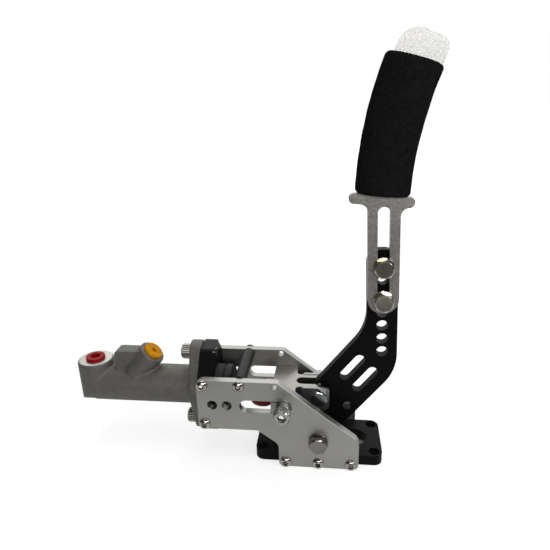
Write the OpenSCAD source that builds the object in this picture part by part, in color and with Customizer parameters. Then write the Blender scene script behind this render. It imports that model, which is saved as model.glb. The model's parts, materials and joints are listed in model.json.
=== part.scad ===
// Hydraulic parking brake lever: an upright hand lever that pushes a level master cylinder.
// Millimetres. The origin is the centre of the base bolts, on the underside of the base.
// -X is the cylinder end, -Y the near side plate, +Z up.

/* [Base] */
// Length of the base plate
base_l = 105; // [100:1:125]
// Thickness of the base plate
base_t = 9; // [8:0.5:10]
// Corner radius of the base plate
base_r = 7; // [3:1:9]
// Distance of the base bolts from the ends of the base
base_inset_x = 6.5; // [6:0.5:9]
// Distance of the base bolts from the sides of the base
base_inset_y = 6; // [5.5:0.5:8]
// Diameter of the base bolt holes
base_hole_d = 9; // [6:0.5:9.5]
// Width of the two round-ended cut-outs
cutout_w = 20; // [14:1:22]
// Length of the two cut-outs
cutout_l = 26; // [23:1:30]
// Distance from the middle to the outer end of a cut-out
cutout_reach = 41; // [38:1:43]

/* [Side plates] */
// Clear width between the side plates
frame_w = 48; // [46:1:56]
// Thickness of a side plate
plate_t = 6.5; // [5:0.5:8]
// Height of the side plates
plate_h = 77.8; // [76:0.2:82]
// Reach of the side plates towards the cylinder
plate_reach = 97; // [94:1:104]
// Height of the underside of the forward arm
arm_z = 33.6; // [30:0.2:35]
// Distance forward where the underside starts to drop to the foot
arm_x = 48.5; // [44:0.5:52]
// Height where that slope meets the foot
foot_z = 21; // [16:0.5:23]
// Forward edge of the foot
foot_front = 31.9; // [30:0.1:36]
// Rear edge of the foot
foot_rear = 32.5; // [31:0.5:40]
// Height of the rear edge
rear_z = 27.3; // [24:0.5:30]
// Distance forward where the top edge starts to slope
slope_x = 31.8; // [28:0.2:36]
// Diameter of the two round holes in the arm
arm_hole_d = 8; // [5:0.5:10]
// Distance forward of the first arm hole
arm_hole_x = 73.1; // [71:0.1:75]
// Spacing of the arm holes
arm_hole_pitch = 11.7; // [10.5:0.1:13]
// Diameter of the lock pin hole
lock_hole_d = 5; // [3:0.5:6]
// Height of the guide slot
slot_h = 11; // [10:0.5:11.5]
// Forward end of the guide slot
slot_front = 62.7; // [56:0.1:64]

/* [Fasteners] */
// Diameter of the small screws
screw_d = 5; // [4:0.5:5]
// Diameter of the small button heads
screw_head_d = 9.5; // [8:0.5:10]
// Height of the small button heads
screw_head_h = 2.8; // [2:0.1:3.5]
// Length of thread in the tapped holes of the small screws
screw_grip = 11; // [7:0.5:12]
// Spacing of the foot screws
foot_screw_pitch = 26.4; // [22:0.2:27]
// Height of the two pairs of mount plate screws above and below the cylinder axis
mount_screw_rise = 17.8; // [16:0.2:18.5]
// Diameter of the large bolts
bolt_d = 8; // [7:0.5:8]
// Width across flats of the large hexagons
hex_af = 13; // [12:0.5:13.5]
// Height of the hexagon heads
hex_h = 5.3; // [4:0.1:6]
// Height of the nuts
nut_h = 6.4; // [5:0.1:7]
// Outside diameter of the washers
washer_d = 16; // [15:0.5:17]
// Thickness of the washers
washer_t = 1.6; // [1:0.1:2]
// Diameter of the socket heads
cap_d = 13; // [12:0.5:14]
// Height of the socket heads
cap_h = 8; // [7:0.5:9]

/* [Master cylinder] */
// Height of the cylinder axis
axis_z = 55.8; // [54:0.2:57]
// Bore of the cylinder
bore_d = 19.05; // [17:0.05:21]
// Outside diameter of the cylinder
tube_d = 32.6; // [30:0.2:36]
// Length from the flange face to the closed end
cyl_l = 112; // [108:1:122]
// Outside diameter of the closed end
end_d = 31.4; // [30:0.2:32]
// Thickness of metal closing the bore
end_wall = 14; // [8:0.5:18]
// Thickness of the flange
flange_t = 10; // [9:0.5:13]
// Spacing of the flange bolts
flange_pitch = 63.2; // [60:0.2:64]
// Radius round each flange bolt
lobe_r = 10; // [9:0.5:12]
// Radius of the middle of the flange
flange_r = 20; // [18:0.5:23]
// Diameter of the spigot behind the flange
spigot_d = 28; // [26:0.5:30]
// Length of the spigot
spigot_l = 15; // [14:0.5:17]
// Thickness of the mount plate
mount_t = 10; // [9:0.5:11]
// Width of the mount plate's raised middle
mount_lobe_w = 20; // [16:0.5:26]
// Distance from the closed end to the outlet
outlet_inset = 15; // [15:0.5:20]
// Diameter of the outlet boss
outlet_d = 30; // [26:0.5:31]
// Height of the outlet boss above the axis
outlet_rise = 21.9; // [20:0.5:25]
// Diameter of the outlet plug
outlet_plug_d = 16; // [14:0.5:18]
// Distance from the closed end to the middle of the inlet's face
inlet_inset = 67.5; // [62:0.5:70]
// Height of the inlet's face above the axis
inlet_rise = 30; // [28:0.5:33]
// Lean of the inlet towards the lever
inlet_lean = 40; // [30:1:45]
// Diameter of the inlet boss
inlet_d = 22.5; // [20:0.5:24]
// Diameter of the inlet plug
inlet_plug_d = 16.3; // [13:0.1:17]
// Height of the web between the bosses above the axis
web_rise = 32.5; // [28:0.5:36]
// Thickness of the web
web_w = 13; // [10:0.5:18]

/* [Piston and pushrod] */
// Length of the piston
piston_l = 40; // [32:1:48]
// Width of a seal groove
seal_w = 3.5; // [2.5:0.1:4]
// Depth of a seal groove
seal_depth = 2.6; // [1.5:0.1:3.2]
// Depth of the pushrod cup
cup_depth = 12; // [8:0.5:16]
// Wire diameter of the return spring
wire_d = 1.8; // [1.2:0.1:2.4]
// Turns of the return spring
spring_turns = 8; // [5:1:10]
// Outside diameter of the dust boot
boot_d = 36; // [33:0.5:38]
// Length of the dust boot
boot_l = 22; // [20:0.5:23]

/* [Crosshead] */
// Forward face of the crosshead
cross_front = 38.4; // [36:0.2:42]
// Length of the crosshead's wide body
cross_l = 19.4; // [18:0.2:21]
// Height of the crosshead
cross_h = 14; // [12:0.5:16]
// Gap between the two prongs
prong_gap = 10; // [9:0.2:12]
// Thickness of a prong
prong_t = 4.6; // [4:0.2:6]
// Length of a guide tongue
tongue_l = 16.1; // [14:0.1:17]
// Thickness of a clevis cheek
cheek_t = 2.5; // [2:0.1:3.5]
// Diameter of the shoulder on the guide screws
shoulder_d = 12.4; // [12.2:0.2:12.8]
// Length of the shoulder on the guide screws
shoulder_l = 5.7; // [3:0.1:8]
// Radius of the bump stop
stop_r = 5.6; // [4.6:0.2:5.8]
// Length of the bump stop
stop_l = 20; // [14:0.5:20.5]

/* [Lever] */
// Height of the lever's pivot
pivot_z = 25.5; // [25.5:0.1:26.5]
// Thickness of the lever
lever_t = 8; // [6:0.5:9]
// Radius of the lever round its pivot
boss_r = 14; // [13:0.5:15]
// Outside diameter of the pivot bushing
bushing_d = 12; // [11:0.5:14]
// Width of the pivot spacers
pivot_spacer_d = 15; // [13:0.5:17]
// Radius of the lever's two bends
bend_r = 40; // [25:1:44]
// Slope of the lever's wide part
diagonal = 51.8; // [50:0.1:54]
// Width of the lever's wide part
diagonal_w = 42.3; // [40:0.1:44]
// Width of the upper part of the lever
arm_w = 23.4; // [22:0.1:25]
// Forward lean of the upper part
lean = 2.3; // [1:0.1:3]
// Diameter of the row of round holes
row_hole_d = 8.8; // [6:0.2:9]
// Spacing of the row of round holes
row_pitch = 11.3; // [11:0.1:12]
// Width of the two slots
lever_slot_w = 8.6; // [6:0.1:9]
// Length of the two slots
lever_slot_l = 27; // [18:0.5:28]

/* [Handle] */
// Thickness of the handle plate
handle_t = 6; // [5:0.5:8]
// Width of the handle's shank
shank_w = 23; // [21:0.5:24]
// Width of the slot in the shank
handle_slot_w = 8.9; // [8.6:0.1:10]
// Travel of the handle along the lever
handle_travel = 40; // [30:1:41]
// Spacing of the two handle bolts
handle_bolt_pitch = 26.3; // [24:0.1:28]
// Width of the guard under the grip
guard_w = 46; // [40:0.5:48]
// Thickness of the guard
guard_h = 7.4; // [5:0.1:9]
// Lean of the guard and the grip towards the rear
grip_lean = 4.4; // [0:0.1:8]
// Length of the grip along its curve
grip_l = 92.4; // [82:0.1:98]
// Radius of the grip's curve
grip_curve_r = 390; // [300:5:480]
// Width of the grip
grip_w = 40.2; // [37:0.1:42]
// Depth of the grip
grip_depth = 30; // [26:0.5:33]
// Length of the bare tip
tip_l = 16.5; // [14:0.5:20]
// Width of the bare tip
tip_w = 34.5; // [28:0.5:35]

/* [Fits] */
// Extra diameter of plain holes
hole_play = 0.5; // [0.3:0.1:0.6]
// Extra diameter of tapped holes and pressed seats
thread_play = 0.1; // [0.06:0.02:0.16]
// Radial clearance of running pins and pistons
run_gap = 0.05; // [0.02:0.01:0.08]
// Clearance at sliding faces
slide_gap = 0.3; // [0.2:0.05:0.4]
// Gap between the foam and the handle plate
foam_gap = 0.3; // [0.1:0.05:0.5]
// Play each side of the crosshead pin in the lever
pin_play = 0.4; // [0.35:0.05:0.5]

/* [Hidden] */
$fn = 64;
eps = 0.01;
slot_step = 0.02;
arc_steps = 8;

// Planes across the frame
inner_y = frame_w / 2;
outer_y = inner_y + plate_t;

// Stations along the cylinder
mount_front = -plate_reach;
mount_rear = mount_front + mount_t;
flange_front = mount_front - flange_t;
cyl_front = mount_front - cyl_l;
spigot_rear = mount_front + spigot_l;
bore_front = cyl_front + end_wall;
outlet_x = cyl_front + outlet_inset;
inlet_x = cyl_front + inlet_inset;
outlet_top = axis_z + outlet_rise;
web_gap = 4.4;
inlet_boss_l = 26;
plug_depth = 8;
plug_lip = 2.4;
plug_step = 3;
mount_lobe_drop = 2.8;

// Circlip and piston
clip_t = 1.2;
clip_rear = spigot_rear - 1.8;
clip_front = clip_rear - clip_t;
clip_seat_d = bore_d + 2;
clip_hole_d = bore_d - 6;
piston_d = bore_d - 2 * run_gap;
piston_rear = clip_front - slide_gap;
piston_front = piston_rear - piston_l;
piston_nose_l = 8;
piston_nose_d = bore_d - 7;
piston_land = 4;
piston_seat_x = piston_front + piston_nose_l;
seal_x = [piston_seat_x + piston_land, piston_rear - piston_land - seal_w];

// Pushrod and boot
rod_d = bolt_d;
rod_front = piston_rear - cup_depth + slide_gap;
rod_rear = -cross_front + 14;
boot_wall = 1.6;
boot_cuff_l = 6;
boot_neck_l = 4;
boot_rear = mount_rear + boot_l;

// Screw places
base_pitch_x = base_l - 2 * base_inset_x;
base_pitch_y = frame_w - 2 * base_inset_y;
foot_screw_z = base_t / 2;
foot_screw_x = [-foot_screw_pitch, 0, foot_screw_pitch];
mount_screw_x = (mount_front + mount_rear) / 2;
spacer_d = 10;
spacer_x = -slot_front;
spacer_z = plate_h - 3.6;
cutout_end_r = cutout_w / 2;
cutout_mid = [cutout_reach - cutout_l + cutout_end_r, cutout_reach - cutout_end_r];
socket_share = 0.55;

// Crosshead
cross_rear = -cross_front + cross_l;
tongue_h = slot_h - 2 * slide_gap;
tongue_front = -cross_front + 0.9;
tongue_rear = tongue_front + tongue_l;
slot_rear = tongue_rear + slide_gap;
guide_x = tongue_front + 9.9;
guide_thread = outer_y - prong_gap;
tongue_out = outer_y + slide_gap;
pin_x = 0;
pin_z = axis_z;
prong_in = prong_gap / 2;
prong_out = prong_in + prong_t;
cheek_out = prong_out + cheek_t;
cheek_front = -15;
cheek_rear = 8.4;
stop_z = axis_z - hex_af / cos(30) / 2 - stop_r - 0.5;
stud_d = 6;
stud_l = 9;
lug_l = 11;
locknut_front = -cross_front - nut_h;

// Lever
pivot_x = 0;
pin_lift = pin_z - pivot_z;
pin_slot_w = bolt_d + 2 * pin_play;
pin_slot_out = 2.8;
row_x = 49.6;
row_z = 94.4;
up = [-sin(lean), cos(lean)];
out = [cos(lean), sin(lean)];
function along_arm(s, side = 0) = [row_x, row_z] + s * up + side * out;
low_bolt_s = 4 * row_pitch + 0.9;
high_bolt_s = low_bolt_s + handle_bolt_pitch;
arm_top_s = high_bolt_s + 11.9;
spare_hole_d = 7;
spare_hole_s = high_bolt_s - 12.4;
diagonal_dir = [cos(diagonal), sin(diagonal)];
diagonal_side = [-sin(diagonal), cos(diagonal)];
heel = [pin_x - pin_slot_w / 2 - 3.8, pin_z + 1];
foot = heel - diagonal_w * diagonal_side;
toe = foot - 10.6 * diagonal_dir;
slot_mid = foot + 38 * diagonal_dir + diagonal_w / 2 * diagonal_side;
slot_offset = 0.9 * diagonal_dir + 0.175 * diagonal_w * diagonal_side;
toe_hole_d = 7.5;
toe_hole = foot + 8.8 * diagonal_dir + 0.2 * diagonal_w * diagonal_side;

// Handle
handle_rear_y = -lever_t / 2 - 0.1;
handle_front_y = handle_rear_y - handle_t;
handle_mid_y = (handle_rear_y + handle_front_y) / 2;
head_y = handle_front_y - 0.1 - washer_t;
shank_end_s = low_bolt_s - 0.2;
handle_slot_top_s = high_bolt_s + handle_travel + 0.2;
shank_below = 10.4;
guard_low_s = handle_slot_top_s + 5.3;
guard_mid = along_arm(guard_low_s + guard_h / 2, -1.8);
guard_up = [sin(grip_lean), cos(grip_lean)];
guard_out = [cos(grip_lean), -sin(grip_lean)];
guard_r = 0.46 * guard_h;
function guard_point(side, rise) = guard_mid + side * guard_out + rise * guard_up;
grip_start = guard_point(0, guard_h / 2 + foam_gap);
tip_shift = 2.45;
grip_turn = grip_l / grip_curve_r * 180 / PI;
core_w = shank_w + 1;
grip_sides = 28;
grip_rings = 14;
grip_round_l = 5;

function unit(v) = v / norm(v);

// Point where the line through p along d meets the line through q along e
function meet(p, d, q, e) =
    p + d * ((q[0] - p[0]) * e[1] - (q[1] - p[1]) * e[0]) / (d[0] * e[1] - d[1] * e[0]);

// Arc that rounds the corner b, given as [x, y, radius], between its neighbours a and c
function corner_arc(a, b, c) =
    let (
        u = unit([a[0] - b[0], a[1] - b[1]]),
        v = unit([c[0] - b[0], c[1] - b[1]]),
        half = acos(u * v) / 2,
        reach = b[2] / tan(half),
        centre = [b[0], b[1]] + unit(u + v) * b[2] / sin(half),
        start = [b[0], b[1]] + u * reach - centre,
        stop = [b[0], b[1]] + v * reach - centre,
        a0 = atan2(start[1], start[0]),
        raw = atan2(stop[1], stop[0]) - a0,
        turn = raw > 180 ? raw - 360 : raw < -180 ? raw + 360 : raw
    )
    b[2] == 0 ? [[b[0], b[1]]] :
    [for (k = [0 : arc_steps]) centre + b[2] * [cos(a0 + turn * k / arc_steps), sin(a0 + turn * k / arc_steps)]];

// Outline with every corner [x, y, radius] rounded
function rounded(p) =
    let (n = len(p))
    [for (i = [0 : n - 1]) each corner_arc(p[(i + n - 1) % n], p[i], p[(i + 1) % n])];

function with_r(p, r) = [p[0], p[1], r];

// Point on the grip's curve at the share t of its length, moved sideways
function grip_heading(t) = grip_lean + grip_turn * t;
function grip_point(t, side = 0) =
    grip_start
    + grip_curve_r * [cos(grip_lean) - cos(grip_heading(t)), sin(grip_heading(t)) - sin(grip_lean)]
    + side * [cos(grip_heading(t)), -sin(grip_heading(t))];

// Flat shape in X and Z, standing between two Y planes
module slab(y0, y1) {
    translate([0, y1, 0]) rotate([90, 0, 0]) linear_extrude(y1 - y0) children();
}

// Flat shape in Y and Z, standing between two X planes
module slab_x(x0, x1) {
    translate([x0, 0, 0]) rotate([90, 0, 90]) linear_extrude(x1 - x0) children();
}

// Round bar along Y
module rod_y(d, y0, y1, x, z) {
    translate([x, y1, z]) rotate([90, 0, 0]) cylinder(d = d, h = y1 - y0);
}

// Round bar along X
module rod_x(d, x0, x1, z) {
    translate([x0, 0, z]) rotate([0, 90, 0]) cylinder(d = d, h = x1 - x0);
}

// Shape turned about an axis along X; its profile is [radius, x]
module turned_x(z) {
    translate([0, 0, z]) rotate([0, 90, 0]) rotate_extrude() children();
}

// Round-ended slot between two points; its walls stand a hair inside its round ends
module slot_2d(w, a, b) {
    dir = unit(b - a);
    side = [-dir[1], dir[0]] * (w / 2 - slot_step);
    translate(a) circle(d = w);
    translate(b) circle(d = w);
    polygon([a + side, a - side, b - side, b + side]);
}

// Places its child, which points along +Z, to point along the Y side given
module facing_y(side, x, y, z) {
    translate([x, side * y, z]) rotate([-90 * side, 0, 0]) children();
}

module hexagon(af, h) {
    cylinder(d = af / cos(30), h = h, $fn = 6);
}

// Button head screw: head above z = 0, shank below
module button_screw(grip) {
    difference() {
        union() {
            rotate_extrude() polygon(concat(
                [[0, screw_head_h], [0, 0], [screw_head_d / 2, 0]],
                [for (k = [1 : 6]) [screw_head_d / 2 * cos(15 * k - 8), screw_head_h * sin(15 * k)]]
            ));
            translate([0, 0, -grip]) cylinder(d = screw_d, h = grip + eps);
        }
        translate([0, 0, screw_head_h * (1 - socket_share)]) hexagon(3, screw_head_h);
    }
}

// Socket head screw: head above z = 0, shank below
module cap_screw(grip) {
    difference() {
        union() {
            cylinder(d = cap_d, h = cap_h);
            translate([0, 0, -grip]) cylinder(d = bolt_d, h = grip + eps);
        }
        translate([0, 0, cap_h * (1 - socket_share)]) hexagon(6, cap_h);
    }
}

// Hexagon bolt: head above z = 0, shank below
module hex_bolt(grip) {
    intersection() {
        hexagon(hex_af, hex_h);
        cylinder(d1 = hex_af * 1.7, d2 = hex_af * 0.98, h = hex_h);
    }
    translate([0, 0, -grip]) cylinder(d = bolt_d, h = grip + eps);
}

module nut() {
    difference() {
        intersection() {
            hexagon(hex_af, nut_h);
            cylinder(d1 = hex_af * 1.75, d2 = hex_af * 0.98, h = nut_h);
        }
        translate([0, 0, -eps]) cylinder(d = bolt_d + thread_play, h = nut_h + 2 * eps);
    }
}

module washer() {
    difference() {
        cylinder(d = washer_d, h = washer_t);
        translate([0, 0, -eps]) cylinder(d = bolt_d + hole_play, h = washer_t + 2 * eps);
    }
}

module base_outline() {
    x = base_l / 2;
    polygon(rounded([[-x, -inner_y, base_r], [x, -inner_y, base_r], [x, inner_y, base_r], [-x, inner_y, base_r]]));
}

module base_plate() {
    color([0.09, 0.09, 0.1]) difference() {
        linear_extrude(base_t) base_outline();
        for (sx = [-1, 1], sy = [-1, 1])
            translate([sx * base_pitch_x / 2, sy * base_pitch_y / 2, -eps])
                cylinder(d = base_hole_d, h = base_t + 2 * eps);
        for (s = [-1, 1])
            translate([0, 0, -eps]) linear_extrude(base_t + 2 * eps)
                slot_2d(cutout_w, [s * cutout_mid[0], 0], [s * cutout_mid[1], 0]);
        for (s = [-1, 1], x = foot_screw_x)
            facing_y(s, x, inner_y - screw_grip, foot_screw_z)
                cylinder(d = screw_d + thread_play, h = screw_grip + eps);
    }
}

module side_outline() {
    polygon(rounded([
        [-foot_front, 0, 4], [foot_rear, 0, 4], [foot_rear, rear_z, 9], [-slope_x, plate_h, 6],
        [mount_front, plate_h, 5], [mount_front, arm_z, 6], [-arm_x, arm_z, 5], [-foot_front, foot_z, 8]
    ]));
}

module side_plate(s) {
    y0 = s > 0 ? inner_y : -outer_y;
    color([0.66, 0.66, 0.66]) difference() {
        slab(y0, y0 + plate_t) difference() {
            side_outline();
            slot_2d(slot_h, [-slot_front + slot_h / 2, axis_z], [slot_rear - slot_h / 2, axis_z]);
        }
        for (k = [0, 1])
            rod_y(arm_hole_d, y0 - eps, y0 + plate_t + eps, -arm_hole_x - k * arm_hole_pitch, axis_z);
        rod_y(lock_hole_d, y0 - eps, y0 + plate_t + eps, -slope_x - 2.2, spacer_z);
        rod_y(bolt_d + hole_play, y0 - eps, y0 + plate_t + eps, pivot_x, pivot_z);
        for (x = foot_screw_x)
            rod_y(screw_d + hole_play, y0 - eps, y0 + plate_t + eps, x, foot_screw_z);
        for (k = [-1, 1])
            rod_y(screw_d + hole_play, y0 - eps, y0 + plate_t + eps, mount_screw_x, axis_z + k * mount_screw_rise);
        rod_y(screw_d + hole_play, y0 - eps, y0 + plate_t + eps, spacer_x, spacer_z);
    }
}

module right_side_plate() { side_plate(-1); }

module left_side_plate() { side_plate(1); }

module base_screws() {
    color([0.75, 0.75, 0.74]) for (s = [-1, 1], x = foot_screw_x)
        facing_y(s, x, outer_y, foot_screw_z) button_screw(plate_t + screw_grip - 1);
}

module cylinder_mount_plate() {
    lobe_z = flange_pitch / 2 + lobe_r - mount_lobe_drop;
    half = mount_lobe_w / 2;
    shoulder = plate_h - axis_z;
    color([0.08, 0.08, 0.09]) difference() {
        slab_x(mount_front, mount_rear) translate([0, axis_z]) polygon(rounded([
            [-half, -lobe_z, 5], [half, -lobe_z, 5], [inner_y, -shoulder, 4], [inner_y, shoulder, 4],
            [half, lobe_z, 5], [-half, lobe_z, 5], [-inner_y, shoulder, 4], [-inner_y, -shoulder, 4]
        ]));
        rod_x(spigot_d + thread_play, mount_front - eps, mount_rear + eps, axis_z);
        for (k = [-1, 1])
            rod_x(bolt_d + thread_play, mount_front - eps, mount_rear + eps, axis_z + k * flange_pitch / 2);
        for (s = [-1, 1], k = [-1, 1])
            facing_y(s, mount_screw_x, inner_y - screw_grip + 3, axis_z + k * mount_screw_rise)
                cylinder(d = screw_d + thread_play, h = screw_grip);
    }
}

module mount_plate_screws() {
    color([0.75, 0.75, 0.74]) for (s = [-1, 1], k = [-1, 1])
        facing_y(s, mount_screw_x, outer_y, axis_z + k * mount_screw_rise) button_screw(plate_t + screw_grip - 4);
}

module spacer_bar() {
    color([0.2, 0.2, 0.2]) difference() {
        rod_y(spacer_d, -inner_y, inner_y, spacer_x, spacer_z);
        for (s = [-1, 1])
            facing_y(s, spacer_x, inner_y - screw_grip, spacer_z)
                cylinder(d = screw_d + thread_play, h = screw_grip + eps);
    }
}

module spacer_screws() {
    color([0.75, 0.75, 0.74]) for (s = [-1, 1])
        facing_y(s, spacer_x, outer_y, spacer_z) button_screw(plate_t + screw_grip - 1);
}

// Flange outline: a round middle with a lobe above and below, joined by their tangents
module flange_2d() {
    d = flange_pitch / 2;
    tilt = acos((flange_r - lobe_r) / d);
    circle(flange_r);
    for (k = [-1, 1]) {
        translate([0, k * d]) circle(lobe_r);
        polygon([
            flange_r * [-sin(tilt), k * cos(tilt)], flange_r * [sin(tilt), k * cos(tilt)],
            [lobe_r * sin(tilt), k * (d + lobe_r * cos(tilt))], [-lobe_r * sin(tilt), k * (d + lobe_r * cos(tilt))]
        ]);
    }
}

// Places its child, which points along +Z, on the face of the inlet
module at_inlet() {
    translate([inlet_x, 0, axis_z + inlet_rise]) rotate([0, inlet_lean, 0]) children();
}

module master_cylinder_body() {
    web_front = outlet_x + outlet_d / 2 + web_gap;
    web_rear = inlet_x + 2;
    color([0.38, 0.37, 0.34]) difference() {
        union() {
            slab_x(flange_front, mount_front) translate([0, axis_z]) flange_2d();
            rod_x(tube_d, outlet_x, flange_front + eps, axis_z);
            intersection() {
                rod_x(end_d, cyl_front, outlet_x + eps, axis_z);
                translate([outlet_x, 0, axis_z - end_d / 2]) cylinder(d = outlet_d, h = end_d);
            }
            rod_x(spigot_d, mount_front - eps, spigot_rear, axis_z);
            translate([outlet_x, 0, axis_z]) rotate_extrude() polygon(rounded([
                [0, 0, 0], [outlet_d / 2, 0, 0], [outlet_d / 2, outlet_rise, 1.5], [0, outlet_rise, 0]
            ]));
            slab(-web_w / 2, web_w / 2) polygon(rounded([
                [web_front, axis_z, 0], [web_rear, axis_z, 0], [web_rear, axis_z + inlet_rise - 6, 3],
                [inlet_x - 9, axis_z + web_rise, 4], [web_front + 0.6, axis_z + web_rise, 4]
            ]));
            at_inlet() rotate_extrude() polygon(rounded([
                [0, -inlet_boss_l, 0], [inlet_d / 2, -inlet_boss_l, 0], [inlet_d / 2, 0, 1.2], [0, 0, 0]
            ]));
        }
        rod_x(bore_d, bore_front, spigot_rear + eps, axis_z);
        rod_x(clip_seat_d, clip_front, clip_rear, axis_z);
        for (k = [-1, 1])
            rod_x(bolt_d + hole_play, flange_front - eps, mount_front + eps, axis_z + k * flange_pitch / 2);
        translate([outlet_x, 0, outlet_top - plug_depth - 1]) cylinder(d = outlet_plug_d - plug_step, h = plug_depth + 2);
        translate([outlet_x, 0, axis_z]) cylinder(d = 5, h = outlet_rise);
        at_inlet() translate([0, 0, -plug_depth - 1]) cylinder(d = inlet_plug_d - plug_step, h = plug_depth + 2);
        at_inlet() translate([0, 0, -inlet_rise - 4]) cylinder(d = 4, h = inlet_rise + 4);
    }
}

// Soft transport plug: a broad lip on z = 0, round a recess, and a stem that stands in the port
module port_plug(d, recess_share) {
    stem_r = (d - plug_step) / 2 - thread_play;
    recess_r = d / 2 * recess_share;
    rotate_extrude() polygon(rounded([
        [0, -plug_depth, 0], [stem_r, -plug_depth, 0.6], [stem_r, 0, 0], [d / 2, 0, 0],
        [d / 2, plug_lip, 0.6], [recess_r, plug_lip, 0.4], [recess_r, -plug_lip / 2, 0.3], [0, -plug_lip / 2, 0]
    ]));
}

module outlet_plug() {
    color([0.75, 0.1, 0.14]) translate([outlet_x, 0, outlet_top]) port_plug(outlet_plug_d, 0.5);
}

module inlet_plug() {
    color([0.95, 0.65, 0.08]) at_inlet() port_plug(inlet_plug_d, 0.26);
}

module cylinder_bolts() {
    color([0.5, 0.5, 0.49]) for (k = [-1, 1])
        translate([flange_front, 0, axis_z + k * flange_pitch / 2]) rotate([0, -90, 0])
            cap_screw(flange_t + mount_t + 1);
}

// Coil spring from the bottom of the bore to the piston
module return_spring() {
    coil_r = bore_d / 2 - wire_d / 2 - 1.2;
    start = bore_front + wire_d / 2;
    closed_pitch = wire_d * 1.15;
    open_l = piston_seat_x - bore_front - wire_d - 2 * closed_pitch - slide_gap;
    steps = spring_turns * 14;
    sides = 6;
    rings = [for (i = [0 : steps]) let (
        turn = spring_turns * i / steps,
        a = 360 * turn,
        closed = min(turn, 1) + max(0, turn - spring_turns + 1),
        share = min(1, max(0, (turn - 1) / (spring_turns - 2))),
        x = start + closed_pitch * closed + open_l * share
    ) [for (k = [0 : sides - 1]) let (w = 360 * k / sides, r = coil_r + wire_d / 2 * cos(w))
        [x + wire_d / 2 * sin(w), r * cos(a), axis_z + r * sin(a)]]];
    color([0.6, 0.6, 0.6]) polyhedron(
        points = [for (ring = rings) each ring],
        faces = concat(
            [[for (k = [0 : sides - 1]) k]],
            [for (i = [0 : steps - 1], k = [0 : sides - 1]) let (n = (k + 1) % sides)
                [i * sides + k, (i + 1) * sides + k, (i + 1) * sides + n, i * sides + n]],
            [[for (k = [sides - 1 : -1 : 0]) steps * sides + k]]
        )
    );
}

module cylinder_circlip() {
    color([0.3, 0.3, 0.3]) turned_x(axis_z) polygon([
        [clip_hole_d / 2, clip_front], [clip_seat_d / 2 - run_gap, clip_front],
        [clip_seat_d / 2 - run_gap, clip_rear], [clip_hole_d / 2, clip_rear]
    ]);
}

// Bellows from the spigot down to the pushrod
module dust_boot() {
    cuff = mount_rear + boot_cuff_l;
    neck = boot_rear - boot_neck_l;
    span = neck - cuff;
    seat_r = spigot_d / 2 + thread_play / 2;
    neck_r = rod_d / 2 + run_gap;
    fold_r = [0.72, 0.86, 0.48, 0.6];
    outer = [for (k = [0 : 3]) [boot_d / 2 * fold_r[k], cuff + span * (k + 1) / 5, 0.7]];
    inner = [for (k = [3 : -1 : 0]) [boot_d / 2 * fold_r[k] - boot_wall, cuff + span * (k + 1) / 5, 0.3]];
    color([0.07, 0.07, 0.07]) turned_x(axis_z) polygon(rounded(concat(
        [[seat_r, mount_rear, 0], [boot_d / 2, mount_rear, 0], [boot_d / 2, cuff, 1]],
        outer,
        [[neck_r + boot_wall, neck, 0.4], [neck_r + boot_wall, boot_rear, 0.6], [neck_r, boot_rear, 0]],
        [[neck_r, neck, 0.3]],
        inner,
        [[seat_r, spigot_rear + slide_gap, 0.2]]
    )));
}

module piston() {
    color([0.7, 0.7, 0.68]) difference() {
        turned_x(axis_z) polygon([
            [0, piston_front], [piston_nose_d / 2, piston_front], [piston_nose_d / 2, piston_seat_x],
            [piston_d / 2, piston_seat_x], [piston_d / 2, piston_rear], [0, piston_rear]
        ]);
        for (x = seal_x)
            turned_x(axis_z) translate([piston_d / 2 - seal_depth, x]) square([seal_depth + 1, seal_w]);
        rod_x(rod_d + 2 * slide_gap, piston_rear - cup_depth, piston_rear + eps, axis_z);
    }
}

module piston_seals() {
    color([0.1, 0.1, 0.1]) for (x = seal_x) turned_x(axis_z) polygon(rounded([
        [piston_d / 2 - seal_depth + run_gap, x + run_gap, 0], [bore_d / 2 - run_gap / 2, x + run_gap, 0.8],
        [bore_d / 2 - run_gap / 2, x + seal_w - run_gap, 0.8], [piston_d / 2 - seal_depth + run_gap, x + seal_w - run_gap, 0]
    ]));
}

module pushrod() {
    color([0.6, 0.6, 0.58]) turned_x(axis_z) polygon(rounded([
        [0, rod_front, 0], [rod_d / 2, rod_front, 3], [rod_d / 2, rod_rear, 0.8], [0, rod_rear, 0]
    ]));
}

module pushrod_locknut() {
    color([0.6, 0.6, 0.58]) translate([locknut_front, 0, axis_z]) rotate([0, 90, 0]) rotate([0, 0, 30]) nut();
}

// Guide tongue: square in front, round at the back
module tongue_2d() {
    r = tongue_h / 2;
    translate([tongue_rear - r, axis_z]) circle(r);
    translate([tongue_front, axis_z - r + slot_step]) square([tongue_l - r, tongue_h - 2 * slot_step]);
}

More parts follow.
